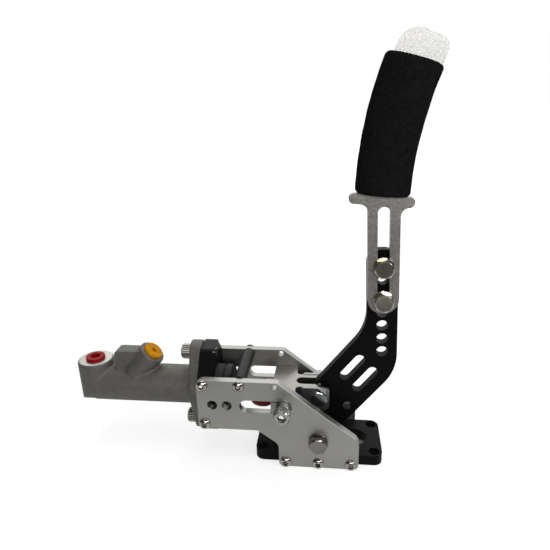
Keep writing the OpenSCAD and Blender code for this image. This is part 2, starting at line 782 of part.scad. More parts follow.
module crosshead() {
    body_y = inner_y - slide_gap;
    low = axis_z - cross_h / 2;
    lug_low = stop_z - stop_r;
    color([0.72, 0.71, 0.69]) difference() {
        union() {
            translate([-cross_front, -body_y, low]) cube([cross_l, 2 * body_y, cross_h]);
            for (s = [-1, 1])
                slab(s > 0 ? prong_in : -prong_out, s > 0 ? prong_out : -prong_in)
                    slot_2d(cross_h, [cross_rear, axis_z], [pin_x, pin_z]);
            for (s = [-1, 1])
                slab(s > 0 ? body_y - eps : -tongue_out, s > 0 ? tongue_out : -body_y + eps) tongue_2d();
            translate([-cross_front, -stop_r, lug_low]) cube([lug_l, 2 * stop_r, low - lug_low + eps]);
        }
        rod_y(bolt_d + thread_play, -prong_out - eps, prong_out + eps, pin_x, pin_z);
        rod_x(rod_d + thread_play, -cross_front - eps, rod_rear + 1, axis_z);
        rod_x(stud_d + thread_play, -cross_front - eps, -cross_front + stud_l, stop_z);
        for (s = [-1, 1])
            facing_y(s, guide_x, outer_y - guide_thread + 4, axis_z) cylinder(d = bolt_d + thread_play, h = guide_thread);
    }
}

// Shouldered socket screws that stand out of the guide slots
module guide_screws() {
    color([0.72, 0.72, 0.7]) for (s = [-1, 1]) {
        facing_y(s, guide_x, tongue_out + shoulder_l, axis_z) cap_screw(shoulder_l + guide_thread - 6);
        facing_y(s, guide_x, tongue_out, axis_z) difference() {
            cylinder(d = shoulder_d, h = shoulder_l);
            translate([0, 0, -eps]) cylinder(d = bolt_d - eps, h = shoulder_l + 2 * eps);
        }
    }
}

// Egg-shaped rubber buffer with a small flat nose, on a stud
module bump_stop() {
    mid = -cross_front - stop_l / 2;
    first = 165;
    last = asin(stud_d / 2 / stop_r);
    steps = 14;
    bottom = -cross_front + stud_l - 1;
    color([0.55, 0.03, 0.07]) turned_x(stop_z) polygon(concat(
        [[0, mid + stop_l / 2 * cos(first)]],
        [for (k = [0 : steps]) let (a = first - (first - last) * k / steps)
            [stop_r * sin(a), mid + stop_l / 2 * cos(a)]],
        [[stud_d / 2, bottom], [0, bottom]]
    ));
}

module clevis_cheeks() {
    color([0.74, 0.74, 0.7]) for (s = [-1, 1]) difference() {
        slab(s > 0 ? prong_out : -cheek_out, s > 0 ? cheek_out : -prong_out) polygon(rounded([
            [cheek_front, axis_z - cross_h, 3], [cheek_rear, axis_z - cross_h, 6],
            [cheek_rear, axis_z + cross_h / 2 + 0.5, 1.5], [cheek_front, axis_z + cross_h / 2 + 0.5, 3]
        ]));
        rod_y(bolt_d + hole_play, -cheek_out - eps, cheek_out + eps, pin_x, pin_z);
    }
}

module clevis_bolt() {
    color([0.7, 0.68, 0.6]) facing_y(-1, pin_x, cheek_out, pin_z) hex_bolt(2 * cheek_out + nut_h + 1);
}

module clevis_nut() {
    color([0.7, 0.68, 0.6]) facing_y(1, pin_x, cheek_out, pin_z) nut();
}

module pivot_bolt() {
    color([0.7, 0.68, 0.6]) facing_y(-1, pivot_x, outer_y + washer_t, pivot_z)
        hex_bolt(2 * (outer_y + washer_t) + nut_h + 1);
}

module pivot_nut() {
    color([0.7, 0.68, 0.6]) facing_y(1, pivot_x, outer_y + washer_t, pivot_z) nut();
}

module pivot_washers() {
    color([0.7, 0.7, 0.68]) for (s = [-1, 1]) facing_y(s, pivot_x, outer_y, pivot_z) washer();
}

// Tubes that centre the lever between the side plates
module pivot_spacers() {
    inner_end = lever_t / 2 + slide_gap;
    color([0.6, 0.6, 0.6]) for (s = [-1, 1]) facing_y(s, pivot_x, inner_end, pivot_z) difference() {
        cylinder(d = pivot_spacer_d, h = inner_y - inner_end);
        translate([0, 0, -eps]) cylinder(d = bolt_d + hole_play, h = inner_y);
    }
}

module pivot_bushing() {
    color([0.7, 0.5, 0.25]) difference() {
        rod_y(bushing_d, -lever_t / 2, lever_t / 2, pivot_x, pivot_z);
        rod_y(bolt_d + 2 * run_gap, -lever_t, lever_t, pivot_x, pivot_z);
    }
}

// Cranked outline: round foot, wide diagonal, narrow upright
module lever_outline() {
    left_bend = meet(heel, diagonal_dir, along_arm(0, -arm_w / 2), up);
    right_bend = meet(foot, diagonal_dir, along_arm(0, arm_w / 2), up);
    translate([pivot_x, pivot_z]) circle(boss_r);
    polygon(rounded([
        [pivot_x - boss_r * 0.65, pivot_z - boss_r * 0.6, 0], [pivot_x + boss_r * 0.6, pivot_z - boss_r * 0.6, 0],
        with_r(toe, 8), with_r(right_bend, bend_r),
        with_r(along_arm(arm_top_s, arm_w / 2), arm_w / 2 - 1), with_r(along_arm(arm_top_s, -arm_w / 2), arm_w / 2 - 1),
        with_r(left_bend, bend_r), with_r(heel, 4), [pivot_x - boss_r * 0.93, pivot_z, 0]
    ]));
}

module lever_plate() {
    reach = diagonal_dir * (lever_slot_l - lever_slot_w) / 2;
    half = lever_t / 2 + eps;
    pin_at = [pivot_x, pivot_z + pin_lift];
    color([0.07, 0.07, 0.08]) difference() {
        slab(-lever_t / 2, lever_t / 2) difference() {
            lever_outline();
            for (k = [-1, 1])
                slot_2d(lever_slot_w, slot_mid + k * slot_offset - reach, slot_mid + k * slot_offset + reach);
            slot_2d(pin_slot_w, pin_at - [0, 0.1], pin_at + [0, pin_slot_out]);
        }
        rod_y(bushing_d + 2 * run_gap, -half, half, pivot_x, pivot_z);
        rod_y(toe_hole_d, -half, half, toe_hole[0], toe_hole[1]);
        for (k = [0 : 3])
            rod_y(row_hole_d, -half, half, along_arm(k * row_pitch)[0], along_arm(k * row_pitch)[1]);
        rod_y(spare_hole_d, -half, half, along_arm(spare_hole_s)[0], along_arm(spare_hole_s)[1]);
        for (s = [low_bolt_s, high_bolt_s])
            rod_y(bolt_d + hole_play, -half, half, along_arm(s)[0], along_arm(s)[1]);
    }
}

// Repeats its child at both handle bolts
module at_handle_bolts(side, y) {
    for (s = [low_bolt_s, high_bolt_s])
        facing_y(side, along_arm(s)[0], y, along_arm(s)[1]) children();
}

module handle_bolts() {
    color([0.7, 0.68, 0.6]) at_handle_bolts(-1, -head_y) hex_bolt(-head_y + lever_t / 2 + nut_h + 1);
}

module handle_nuts() {
    color([0.7, 0.68, 0.6]) at_handle_bolts(1, lever_t / 2) nut();
}

module handle_washers() {
    color([0.7, 0.7, 0.68]) at_handle_bolts(-1, -head_y - washer_t) washer();
}

// Flat handle: slotted shank, guard, core inside the grip, wide tip
module handle_outline() {
    w = shank_w / 2;
    core = core_w / 2;
    low = -guard_h / 2;
    high = guard_h / 2;
    ear = guard_w / 2;
    neck = 1 + foam_gap / grip_l;
    tip = 1 + tip_l / grip_l;
    left = tip_w / 2 - tip_shift;
    right = tip_w / 2 + tip_shift;
    right_root = meet(along_arm(0, w), up, guard_point(0, low), guard_out);
    left_root = meet(along_arm(0, -w), up, guard_point(0, low), guard_out);
    polygon(rounded(concat(
        [with_r(along_arm(shank_end_s - shank_below, -w), w - 0.5)],
        [with_r(along_arm(shank_end_s - shank_below, w), w - 0.5)],
        [with_r(right_root, 6), with_r(guard_point(ear, low), guard_r), with_r(guard_point(ear, high), guard_r)],
        [with_r(guard_point(core, high), 0)],
        [for (k = [0 : 8]) with_r(grip_point(k / 8, core), 0)],
        [with_r(grip_point(neck, core), 0), with_r(grip_point(neck, right), 0)],
        [with_r(grip_point(tip, right), 7), with_r(grip_point(tip, -left), 9)],
        [with_r(grip_point(neck, -left), 0), with_r(grip_point(neck, -core), 0)],
        [for (k = [8 : -1 : 0]) with_r(grip_point(k / 8, -core), 0)],
        [with_r(guard_point(-core, high), 0)],
        [with_r(guard_point(-ear, high), guard_r), with_r(guard_point(-ear, low), guard_r), with_r(left_root, 6)]
    )));
}

module handle_plate() {
    color([0.62, 0.61, 0.59]) slab(handle_front_y, handle_rear_y) difference() {
        handle_outline();
        slot_2d(handle_slot_w, along_arm(shank_end_s), along_arm(handle_slot_top_s));
    }
}

// Oval foam sleeve along the grip's curve, with the core's channel through it
module grip() {
    rings = [for (i = [0 : grip_rings]) let (
        t = i / grip_rings,
        edge = min(t, 1 - t) * grip_l,
        swell = edge >= grip_round_l ? 1 : 1 - 0.07 * pow(1 - edge / grip_round_l, 2)
    ) [for (k = [0 : grip_sides - 1]) let (
        a = 360 * k / grip_sides,
        p = grip_point(t, grip_w / 2 * swell * cos(a))
    ) [p[0], handle_mid_y + grip_depth / 2 * swell * sin(a), p[1]]]];
    color([0.06, 0.06, 0.06]) difference() {
        polyhedron(
            points = [for (ring = rings) each ring],
            faces = concat(
                [[for (k = [0 : grip_sides - 1]) k]],
                [for (i = [0 : grip_rings - 1], k = [0 : grip_sides - 1]) let (n = (k + 1) % grip_sides)
                    [i * grip_sides + k, (i + 1) * grip_sides + k, (i + 1) * grip_sides + n, i * grip_sides + n]],
                [[for (k = [grip_sides - 1 : -1 : 0]) grip_rings * grip_sides + k]]
            )
        );
        slab(handle_front_y - foam_gap, handle_rear_y + foam_gap) polygon(concat(
            [for (k = [-1 : 9]) grip_point(k / 8, core_w / 2 + foam_gap)],
            [for (k = [9 : -1 : -1]) grip_point(k / 8, -core_w / 2 - foam_gap)]
        ));
    }
}

base_plate();
right_side_plate();
left_side_plate();
base_screws();
cylinder_mount_plate();
mount_plate_screws();
spacer_bar();
spacer_screws();
master_cylinder_body();
outlet_plug();
inlet_plug();
cylinder_bolts();
return_spring();
cylinder_circlip();
dust_boot();
piston();
piston_seals();
pushrod();
pushrod_locknut();
crosshead();
guide_screws();
bump_stop();
clevis_cheeks();
clevis_bolt();
clevis_nut();
pivot_bolt();
pivot_nut();
pivot_washers();
pivot_spacers();
pivot_bushing();
lever_plate();
handle_bolts();
handle_nuts();
handle_washers();
handle_plate();
grip();
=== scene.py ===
"""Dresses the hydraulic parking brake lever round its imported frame.

Metres, in the frame's own axes: -X is the cylinder end, -Y the near side plate, +Z up.
"""

from __future__ import annotations

import json
import logging
import math
from dataclasses import dataclass, field
from enum import Enum
from typing import Any, Callable, Iterable, Sequence

import bmesh
import bpy
from mathutils import Matrix, Vector, noise
from mathutils.bvhtree import BVHTree

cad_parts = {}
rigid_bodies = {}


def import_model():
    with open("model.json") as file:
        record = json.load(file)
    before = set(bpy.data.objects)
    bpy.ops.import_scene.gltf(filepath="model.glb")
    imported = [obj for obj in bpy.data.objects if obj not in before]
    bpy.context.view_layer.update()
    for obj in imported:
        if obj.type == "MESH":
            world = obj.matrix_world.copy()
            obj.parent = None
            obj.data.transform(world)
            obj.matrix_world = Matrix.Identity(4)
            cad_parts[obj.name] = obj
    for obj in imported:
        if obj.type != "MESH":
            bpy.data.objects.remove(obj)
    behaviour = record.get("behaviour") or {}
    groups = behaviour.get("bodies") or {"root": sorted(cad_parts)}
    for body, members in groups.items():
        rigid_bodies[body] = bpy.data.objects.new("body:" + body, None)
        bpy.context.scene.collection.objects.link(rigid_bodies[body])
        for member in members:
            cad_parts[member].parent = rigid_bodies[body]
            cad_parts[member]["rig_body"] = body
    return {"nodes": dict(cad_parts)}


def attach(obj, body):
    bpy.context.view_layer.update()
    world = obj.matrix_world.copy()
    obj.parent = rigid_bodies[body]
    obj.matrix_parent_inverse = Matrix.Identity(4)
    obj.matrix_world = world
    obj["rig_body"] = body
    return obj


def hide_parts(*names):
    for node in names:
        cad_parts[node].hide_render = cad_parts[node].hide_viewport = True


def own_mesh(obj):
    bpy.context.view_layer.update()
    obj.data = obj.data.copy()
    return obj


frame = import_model()

LOG = logging.getLogger("brake_lever")
TAU = 2 * math.pi
SHARP = math.radians(32)
FLAT = math.radians(0.4)
MERGE = 1e-6
CLEAR = 1e-5
CLOUDY = (0.3, 0.7)
WHITE = (1.0, 1.0, 1.0)
SIDES = (-1, 1)

Colour = tuple[float, float, float]
Point = tuple[float, float, float]
Pair = tuple[float, float]
Measure = float | Callable[[float], float]
Ring = tuple[Measure, Measure]
Mesh = bmesh.types.BMesh
Piece = bpy.types.Object


class Sock:
    """A shader socket that takes part in Python expressions."""

    def __init__(self, bench: ShaderBench, socket: bpy.types.NodeSocket | None) -> None:
        """Wraps one output socket of a bench's tree."""
        self.bench = bench
        self.socket = socket

    def _combine(self, operation: str, first: Any, second: Any) -> Sock:
        """Adds the maths node for two operands.

        Args:
            operation: The node's operation.
            first: The left operand, a socket or numbers.
            second: The right operand, a socket or numbers.

        Returns:
            The node's result.
        """
        kind = "ShaderNodeVectorMath" if self.socket.type == "VECTOR" else "ShaderNodeMath"
        return self.bench.node(kind, {"operation": operation}, {0: first, 1: second})

    def __add__(self, other: Any) -> Sock:
        """Gives self + other."""
        return self._combine("ADD", self, other)

    def __radd__(self, other: Any) -> Sock:
        """Gives other + self."""
        return self._combine("ADD", other, self)

    def __sub__(self, other: Any) -> Sock:
        """Gives self - other."""
        return self._combine("SUBTRACT", self, other)

    def __rsub__(self, other: Any) -> Sock:
        """Gives other - self."""
        return self._combine("SUBTRACT", other, self)

    def __mul__(self, other: Any) -> Sock:
        """Gives self * other."""
        return self._combine("MULTIPLY", self, other)

    def __rmul__(self, other: Any) -> Sock:
        """Gives other * self."""
        return self._combine("MULTIPLY", other, self)

    def __or__(self, other: Any) -> Sock:
        """Gives the larger of two masks."""
        return self._combine("MAXIMUM", self, other)

    def swing(self, reach: float) -> Sock:
        """Gives a noise's swing about its middle, scaled to a reach."""
        return (self - 0.5) * reach

    def blend(self, other: Sock, shares: Pair) -> Sock:
        """Adds two noises by their shares."""
        return self * shares[0] + other * shares[1]

    def along(self, axis: str) -> Sock:
        """Gives one component, X, Y or Z, of a vector."""
        return self.bench.node("ShaderNodeSeparateXYZ", {}, {0: self}, axis)

    def away(self, centre: Point) -> Sock:
        """Gives the distance of a point from a centre."""
        settings = {"operation": "DISTANCE"}
        return self.bench.node("ShaderNodeVectorMath", settings, {0: self, 1: centre}, "Value")

    def step(self, low: float, high: float) -> Sock:
        """Rises smoothly from 0 at low to 1 at high, or falls where high is below low.

        Args:
            low: The value that gives 0.
            high: The value that gives 1.

        Returns:
            The mask.
        """
        start, stop = min(low, high), max(low, high)
        made = self.bench.node(
            "ShaderNodeMapRange",
            {"interpolation_type": "SMOOTHSTEP"},
            {"Value": self, "From Min": start, "From Max": stop},
        )
        return made if low < high else 1 - made

    def mix(self, low: Any, high: Any) -> Sock:
        """Blends two colours with this mask as the factor.

        Args:
            low: The colour at 0.
            high: The colour at 1.

        Returns:
            The blended colour.
        """
        return self.bench.node("ShaderNodeMix", {"data_type": "RGBA"}, {0: self, 6: low, 7: high}, 2)


class ShaderBench:
    """Adds nodes to one node tree."""

    def __init__(self, tree: bpy.types.NodeTree) -> None:
        """Starts from an empty tree."""
        self.tree = tree
        tree.nodes.clear()

    def node(
        self,
        kind: str,
        settings: dict[str, Any] | None = None,
        inputs: dict[int | str, Any] | None = None,
        output: int | str = 0,
    ) -> Sock:
        """Adds one node.

        Args:
            kind: The node's type.
            settings: The node's own settings, which are set first.
            inputs: The values or links of its sockets.
            output: The output that the caller goes on with.

        Returns:
            The chosen output.
        """
        made = self.tree.nodes.new(kind)
        for key, value in (settings or {}).items():
            setattr(made, key, value)
        for key, value in (inputs or {}).items():
            self._feed(made.inputs[key], value)
        return Sock(self, made.outputs[output] if made.outputs else None)

    def _feed(self, target: bpy.types.NodeSocket, value: Any) -> None:
        """Links a socket to an input, or sets the input's own value.

        Args:
            target: The input.
            value: A socket, a number or a colour.
        """
        if isinstance(value, Sock):
            self.tree.links.new(value.socket, target)
        elif target.type == "RGBA" and len(value) == 3:
            target.default_value = (*value, 1.0)
        elif target.type == "VECTOR" and isinstance(value, (int, float)):
            target.default_value = (value, value, value)
        else:
            target.default_value = value

    def point(self) -> Sock:
        """Gives the place on the piece, in metres."""
        return self.node("ShaderNodeTexCoord", {}, {}, "Object")

    def grain(self, point: Sock, size: float, detail: float = 2.0) -> Sock:
        """Gives a cloudy noise from 0 to 1.

        Args:
            point: The place on the piece.
            size: The size of a cloud in metres.
            detail: The number of finer layers.

        Returns:
            The noise.
        """
        inputs = {"Vector": point, "Scale": 1 / size, "Detail": detail}
        return self.node("ShaderNodeTexNoise", {"normalize": True}, inputs)

    def inside(self, point: Sock, half: Pair, edge: float = 0.001) -> Sock:
        """Masks an upright box about the origin.

        Args:
            point: The place.
            half: Half the box's length and width.
            edge: The width of its soft border.

        Returns:
            1 inside the box and 0 outside it.
        """
        front, rear, near, far = (
            point.along(axis).step(side * reach, side * (reach - edge))
            for axis, reach in zip("XY", half)
            for side in SIDES
        )
        return front * rear * near * far

    def cells(self, point: Sock, size: float) -> Sock:
        """Gives the distance to the middle of the nearest cell.

        Args:
            point: The place on the piece.
            size: The size of a cell in metres.

        Returns:
            The distance as a share of the cell.
        """
        return self.node("ShaderNodeTexVoronoi", {"feature": "F1"}, {"Vector": point, "Scale": 1 / size})

    def bump(self, height: Sock, depth: float, strength: float = 1.0) -> Sock:
        """Turns a height into a surface direction.

        Args:
            height: The height, from 0 to 1.
            depth: The depth in metres that 1 stands for.
            strength: The share of the effect.

        Returns:
            The direction for a shader's Normal.
        """
        return self.node("ShaderNodeBump", {}, {"Height": height, "Distance": depth, "Strength": strength})

    def surface(self, **sockets: Any) -> None:
        """Closes the tree with the main shader.

        Args:
            **sockets: The shader's inputs, by name with underscores for spaces.
        """
        inputs = {name.replace("_", " "): value for name, value in sockets.items()}
        shader = self.node("ShaderNodeBsdfPrincipled", {}, inputs)
        self.node("ShaderNodeOutputMaterial", {}, {"Surface": shader})


def tones(colour: Colour, low: float, high: float) -> tuple[Colour, Colour]:
    """Gives two tones of a colour.

    Args:
        colour: The colour.
        low: The share of it in the first tone.
        high: The share of it in the second tone.

    Returns:
        The two tones.
    """
    first, second = (tuple(min(1.0, part * share) for part in colour) for share in (low, high))
    return first, second


@dataclass(frozen=True)
class Finish:
    """A surface finish, which makes its material once."""

    name: str
    colour: Colour
    roughness: float

    def material(self) -> bpy.types.Material:
        """Gives the material of this finish.

        Returns:
            The material, made at the first call.
        """
        name = f"{self.name}_finish"
        found = bpy.data.materials.get(name)
        if found is None:
            found = bpy.data.materials.new(name)
            found.use_nodes = True
            bench = ShaderBench(found.node_tree)
            self.shade(bench, bench.point())
        return found

    def shade(self, bench: ShaderBench, point: Sock) -> None:
        """Builds the nodes; each kind of finish has its own."""
        raise NotImplementedError


@dataclass(frozen=True)
class SatinMetal(Finish):
    """Bare or anodised metal with fine lines or an even grain."""

    lines: Point = (1.0, 1.0, 1.0)
    grain: float = 0.0004
    grain_gloss: float = 0.16
    depth: float = 0.000006
    cloud: float = 0.03
    cloud_gloss: float = 0.08
    mottle: float = 0.05

    def shade(self, bench: ShaderBench, point: Sock) -> None:
        """Adds slow clouds to the colour and fine grain to the gloss.

        Args:
            bench: The material's bench.
            point: The place on the piece.
        """
        cloud = bench.grain(point, self.cloud, detail=3.0)
        grain = bench.grain(point * self.lines, self.grain, detail=3.0)
        bench.surface(
            Base_Color=cloud.step(*CLOUDY).mix(*tones(self.colour, 1 - self.mottle, 1 + self.mottle)),
            Metallic=1.0,
            Roughness=self.roughness + grain.swing(self.grain_gloss) + cloud.swing(self.cloud_gloss),
            Normal=bench.bump(grain, self.depth),
        )


@dataclass(frozen=True)
class PlatedSteel(Finish):
    """Bright plated steel with a second tint in patches."""

    cast: Colour = (0.7, 0.66, 0.55)
    patch: float = 0.004
    patch_edge: Pair = (0.35, 0.7)
    scratch: float = 0.0012
    scratch_lines: Point = (1.0, 1.0, 9.0)
    scratch_gloss: float = 0.18
    scratch_depth: float = 0.00001
    scratch_share: float = 0.5

    def shade(self, bench: ShaderBench, point: Sock) -> None:
        """Mixes the two tints in patches and adds fine scratches.

        Args:
            bench: The material's bench.
            point: The place on the piece.
        """
        patch = bench.grain(point, self.patch, detail=3.0)
        scratch = bench.grain(point * self.scratch_lines, self.scratch, detail=4.0)
        bench.surface(
            Base_Color=patch.step(*self.patch_edge).mix(self.colour, self.cast),
            Metallic=1.0,
            Roughness=self.roughness + scratch.swing(self.scratch_gloss),
            Normal=bench.bump(scratch, self.scratch_depth, self.scratch_share),
        )


@dataclass(frozen=True)
class PowderCoat(Finish):
    """Black coating with a fine orange peel."""

    peel: float = 0.0007
    peel_gloss: float = 0.12
    depth: float = 0.00002
    gloss: float = 0.1
    dust: float = 0.012
    dust_edge: Pair = (0.45, 0.8)
    dust_tone: float = 1.5
    dust_gloss: float = 0.1

    def shade(self, bench: ShaderBench, point: Sock) -> None:
        """Adds the peel and a little dust in the colour.

        Args:
            bench: The material's bench.
            point: The place on the piece.
        """
        peel = bench.grain(point, self.peel, detail=2.0)
        dust = bench.grain(point, self.dust, detail=4.0)
        bench.surface(
            Base_Color=dust.step(*self.dust_edge).mix(*tones(self.colour, 1.0, self.dust_tone)),
            Roughness=self.roughness + peel.swing(self.peel_gloss) + dust.swing(self.dust_gloss),
            Specular_IOR_Level=self.gloss,
            Normal=bench.bump(peel, self.depth),
        )


@dataclass(frozen=True)
class CastMetal(Finish):
    """Grey cast skin, with a bright machined face round the outlet."""

    contrast: Pair = (0.82, 1.16)
    pit: float = 0.0011
    pit_gloss: float = 0.2
    lump: float = 0.006
    colour_shares: Pair = (0.6, 0.4)
    relief_shares: Pair = (0.7, 0.5)
    depth: float = 0.00022
    metal: float = 0.55
    machined: Colour = (0.44, 0.428, 0.39)
    machined_gloss: float = 0.28
    outlet: Point = (-0.194, 0.0, 0.0777)
    outlet_reach: float = 0.0136
    edge: float = 0.0003

    def shade(self, bench: ShaderBench, point: Sock) -> None:
        """Lays the cast skin and cuts the machined face by its place.

        Args:
            bench: The material's bench.
            point: The place on the piece.
        """
        pit = bench.grain(point, self.pit, detail=4.0)
        lump = bench.grain(point, self.lump, detail=3.0)
        top = point.along("Z").step(self.outlet[2] - 2 * self.edge, self.outlet[2] - self.edge)
        bright = top * point.away(self.outlet).step(self.outlet_reach + self.edge, self.outlet_reach)
        skin = pit.blend(lump, self.colour_shares).step(*CLOUDY).mix(*tones(self.colour, *self.contrast))
        bench.surface(
            Base_Color=bright.mix(skin, self.machined),
            Metallic=self.metal + bright * (1 - self.metal),
            Roughness=self.roughness + pit.swing(self.pit_gloss) - bright * self.machined_gloss,
            Normal=bench.bump(pit.blend(lump, self.relief_shares) * (1 - bright), self.depth),
        )


@dataclass(frozen=True)
class BlastedMetal(Finish):
    """Bead blasted metal with a sparkling speckle."""

    speckle: float = 0.00045
    coarser: float = 2.6
    shares: Pair = (0.6, 0.4)
    speck_edge: Pair = (0.38, 0.62)
    contrast: Pair = (0.78, 1.2)
    gloss: float = 0.16
    depth: float = 0.00003
    metal: float = 0.85
    # Painted glare on the tip: the height where it starts, the rise over which it comes in, its neutral
    # colour and its share.
    glare_tip_from: float = 0.29
    glare_tip_over: float = 0.004
    glare_tip_colour: Colour = (0.287, 0.284, 0.274)
    glare_and_smoothing_share: float = 0.45

    def shade(self, bench: ShaderBench, point: Sock) -> None:
        """Lays two sizes of speckle on the colour and the gloss; on the tip the speckle is fainter and more
        neutral, a painted glare, and the bump smoother.

        Args:
            bench: The material's bench.
            point: The place on the piece.
        """
        # Painted glare: above this height the speckle fades and the colour turns a neutral grey, standing in
        # for light washing out the tip; the same mask smooths the bump there.
        tip = point.along("Z").step(self.glare_tip_from, self.glare_tip_from + self.glare_tip_over)
        glare_and_smoothing = tip * self.glare_and_smoothing_share
        fine = bench.grain(point, self.speckle)
        coarse = bench.grain(point, self.speckle * self.coarser)
        speck = fine.blend(coarse, self.shares).step(*self.speck_edge)
        speck = speck + (0.5 - speck) * glare_and_smoothing
        dark, light = tones(self.colour, *self.contrast)
        glare_dark, glare_light = tones(self.glare_tip_colour, *self.contrast)
        bench.surface(
            Base_Color=speck.mix(tip.mix(dark, glare_dark), tip.mix(light, glare_light)),
            Metallic=self.metal,
            Roughness=self.roughness + speck.swing(self.gloss),
            Normal=bench.bump(fine * (1 - glare_and_smoothing), self.depth),
        )


@dataclass(frozen=True)
class Moulded(Finish):
    """Rubber or soft plastic from a mould."""

    texture: float = 0.0006
    texture_gloss: float = 0.14
    depth: float = 0.00001
    gloss: float = 0.4
    cloud: float = 0.006
    mottle: float = 0.13

    def shade(self, bench: ShaderBench, point: Sock) -> None:
        """Adds a faint mould texture and uneven colour.

        Args:
            bench: The material's bench.
            point: The place on the piece.
        """
        cloud = bench.grain(point, self.cloud, detail=3.0)
        skin = bench.grain(point, self.texture)
        bench.surface(
            Base_Color=cloud.step(*CLOUDY).mix(*tones(self.colour, 1 - self.mottle, 1 + self.mottle)),
            Roughness=self.roughness + skin.swing(self.texture_gloss),
            Specular_IOR_Level=self.gloss,
            Normal=bench.bump(skin, self.depth),
        )


@dataclass(frozen=True)
class Foam(Finish):
    """Fine closed-cell foam."""

    cell: float = 0.0007
    cloud: float = 0.004
    colour_shares: Pair = (0.7, 0.5)
    colour_edge: Pair = (0.25, 0.85)
    contrast: Pair = (0.6, 1.7)
    relief_shares: Pair = (0.8, 0.4)
    depth: float = 0.00012

    def shade(self, bench: ShaderBench, point: Sock) -> None:
        """Lays pores and soft clouds over a dull black.

        Args:
            bench: The material's bench.
            point: The place on the piece.
        """
        pore = bench.cells(point, self.cell)
        cloud = bench.grain(point, self.cloud, detail=3.0)
        mask = pore.blend(cloud, self.colour_shares).step(*self.colour_edge)
        bench.surface(
            Base_Color=mask.mix(*tones(self.colour, *self.contrast)),
            Roughness=self.roughness,
            Specular_IOR_Level=0.0,
            Normal=bench.bump(pore.blend(cloud, self.relief_shares), self.depth),
        )


class Finishes(Enum):
    """The finishes of the part."""

    BLACK_STEEL = PowderCoat("black_steel", (0.003, 0.003, 0.003), 0.46, gloss=0.07)
    SATIN_PLATE = SatinMetal("satin_plate", (0.345, 0.34, 0.318), 0.42)
    PLATE_EDGE = SatinMetal("plate_edge", (0.8, 0.78, 0.73), 0.24, mottle=0.02)
    BLACK_ANODISED = PowderCoat(
        "black_anodised", (0.0042, 0.0042, 0.0042), 0.4, peel=0.0003, depth=0.000004
    )
    GREY_ANODISED = PowderCoat(
        "grey_anodised", (0.01, 0.01, 0.009), 0.4, peel=0.0003, depth=0.000004, gloss=0.14
    )
    CAST = CastMetal("cast_skin", (0.145, 0.141, 0.125), 0.6)
    MACHINED = SatinMetal("machined", (0.25, 0.245, 0.222), 0.32, lines=(1.0, 14.0, 14.0), grain=0.002)
    BORE_WALL = SatinMetal("bore_wall", (0.42, 0.41, 0.39), 0.34)
    BLASTED = BlastedMetal("blasted", (0.32, 0.308, 0.285), 0.38)
    STAINLESS = PlatedSteel("stainless", (0.4, 0.385, 0.35), 0.1, cast=(0.34, 0.325, 0.29))
    NICKEL = PlatedSteel("nickel", (0.56, 0.53, 0.46), 0.16, cast=(0.5, 0.46, 0.38))
    ZINC = PlatedSteel("zinc", (0.23, 0.218, 0.19), 0.17, cast=(0.2, 0.188, 0.16))
    BRIGHT_ZINC = PlatedSteel("bright_zinc", (0.42, 0.42, 0.402), 0.22, cast=(0.34, 0.34, 0.325))
    BLUE_ZINC = PlatedSteel("blue_zinc", (0.4, 0.425, 0.43), 0.16, cast=(0.32, 0.34, 0.35))
    SATIN_ZINC = PlatedSteel("satin_zinc", (0.27, 0.272, 0.27), 0.38, cast=(0.23, 0.23, 0.228))
    SPRING = PlatedSteel("spring_steel", (0.3, 0.3, 0.3), 0.32, cast=(0.26, 0.25, 0.24))
    BRONZE = SatinMetal("bronze", (0.55, 0.36, 0.16), 0.36)
    BLACK_RUBBER = Moulded("black_rubber", (0.008, 0.008, 0.008), 0.5, gloss=0.3)
    DUSTY_RUBBER = Moulded("dusty_rubber", (0.024, 0.0245, 0.025), 0.62, gloss=0.25, mottle=0.55)
    RED_RUBBER = Moulded("red_rubber", (0.2, 0.004, 0.012), 0.5)
    RED_PLASTIC = Moulded("red_plastic", (0.29, 0.005, 0.006), 0.42, gloss=0.12)
    YELLOW_PLASTIC = Moulded("yellow_plastic", (0.6, 0.255, 0.001), 0.42, gloss=0.06)
    FOAM = Foam("foam", (0.0085, 0.0085, 0.0085), 0.95)


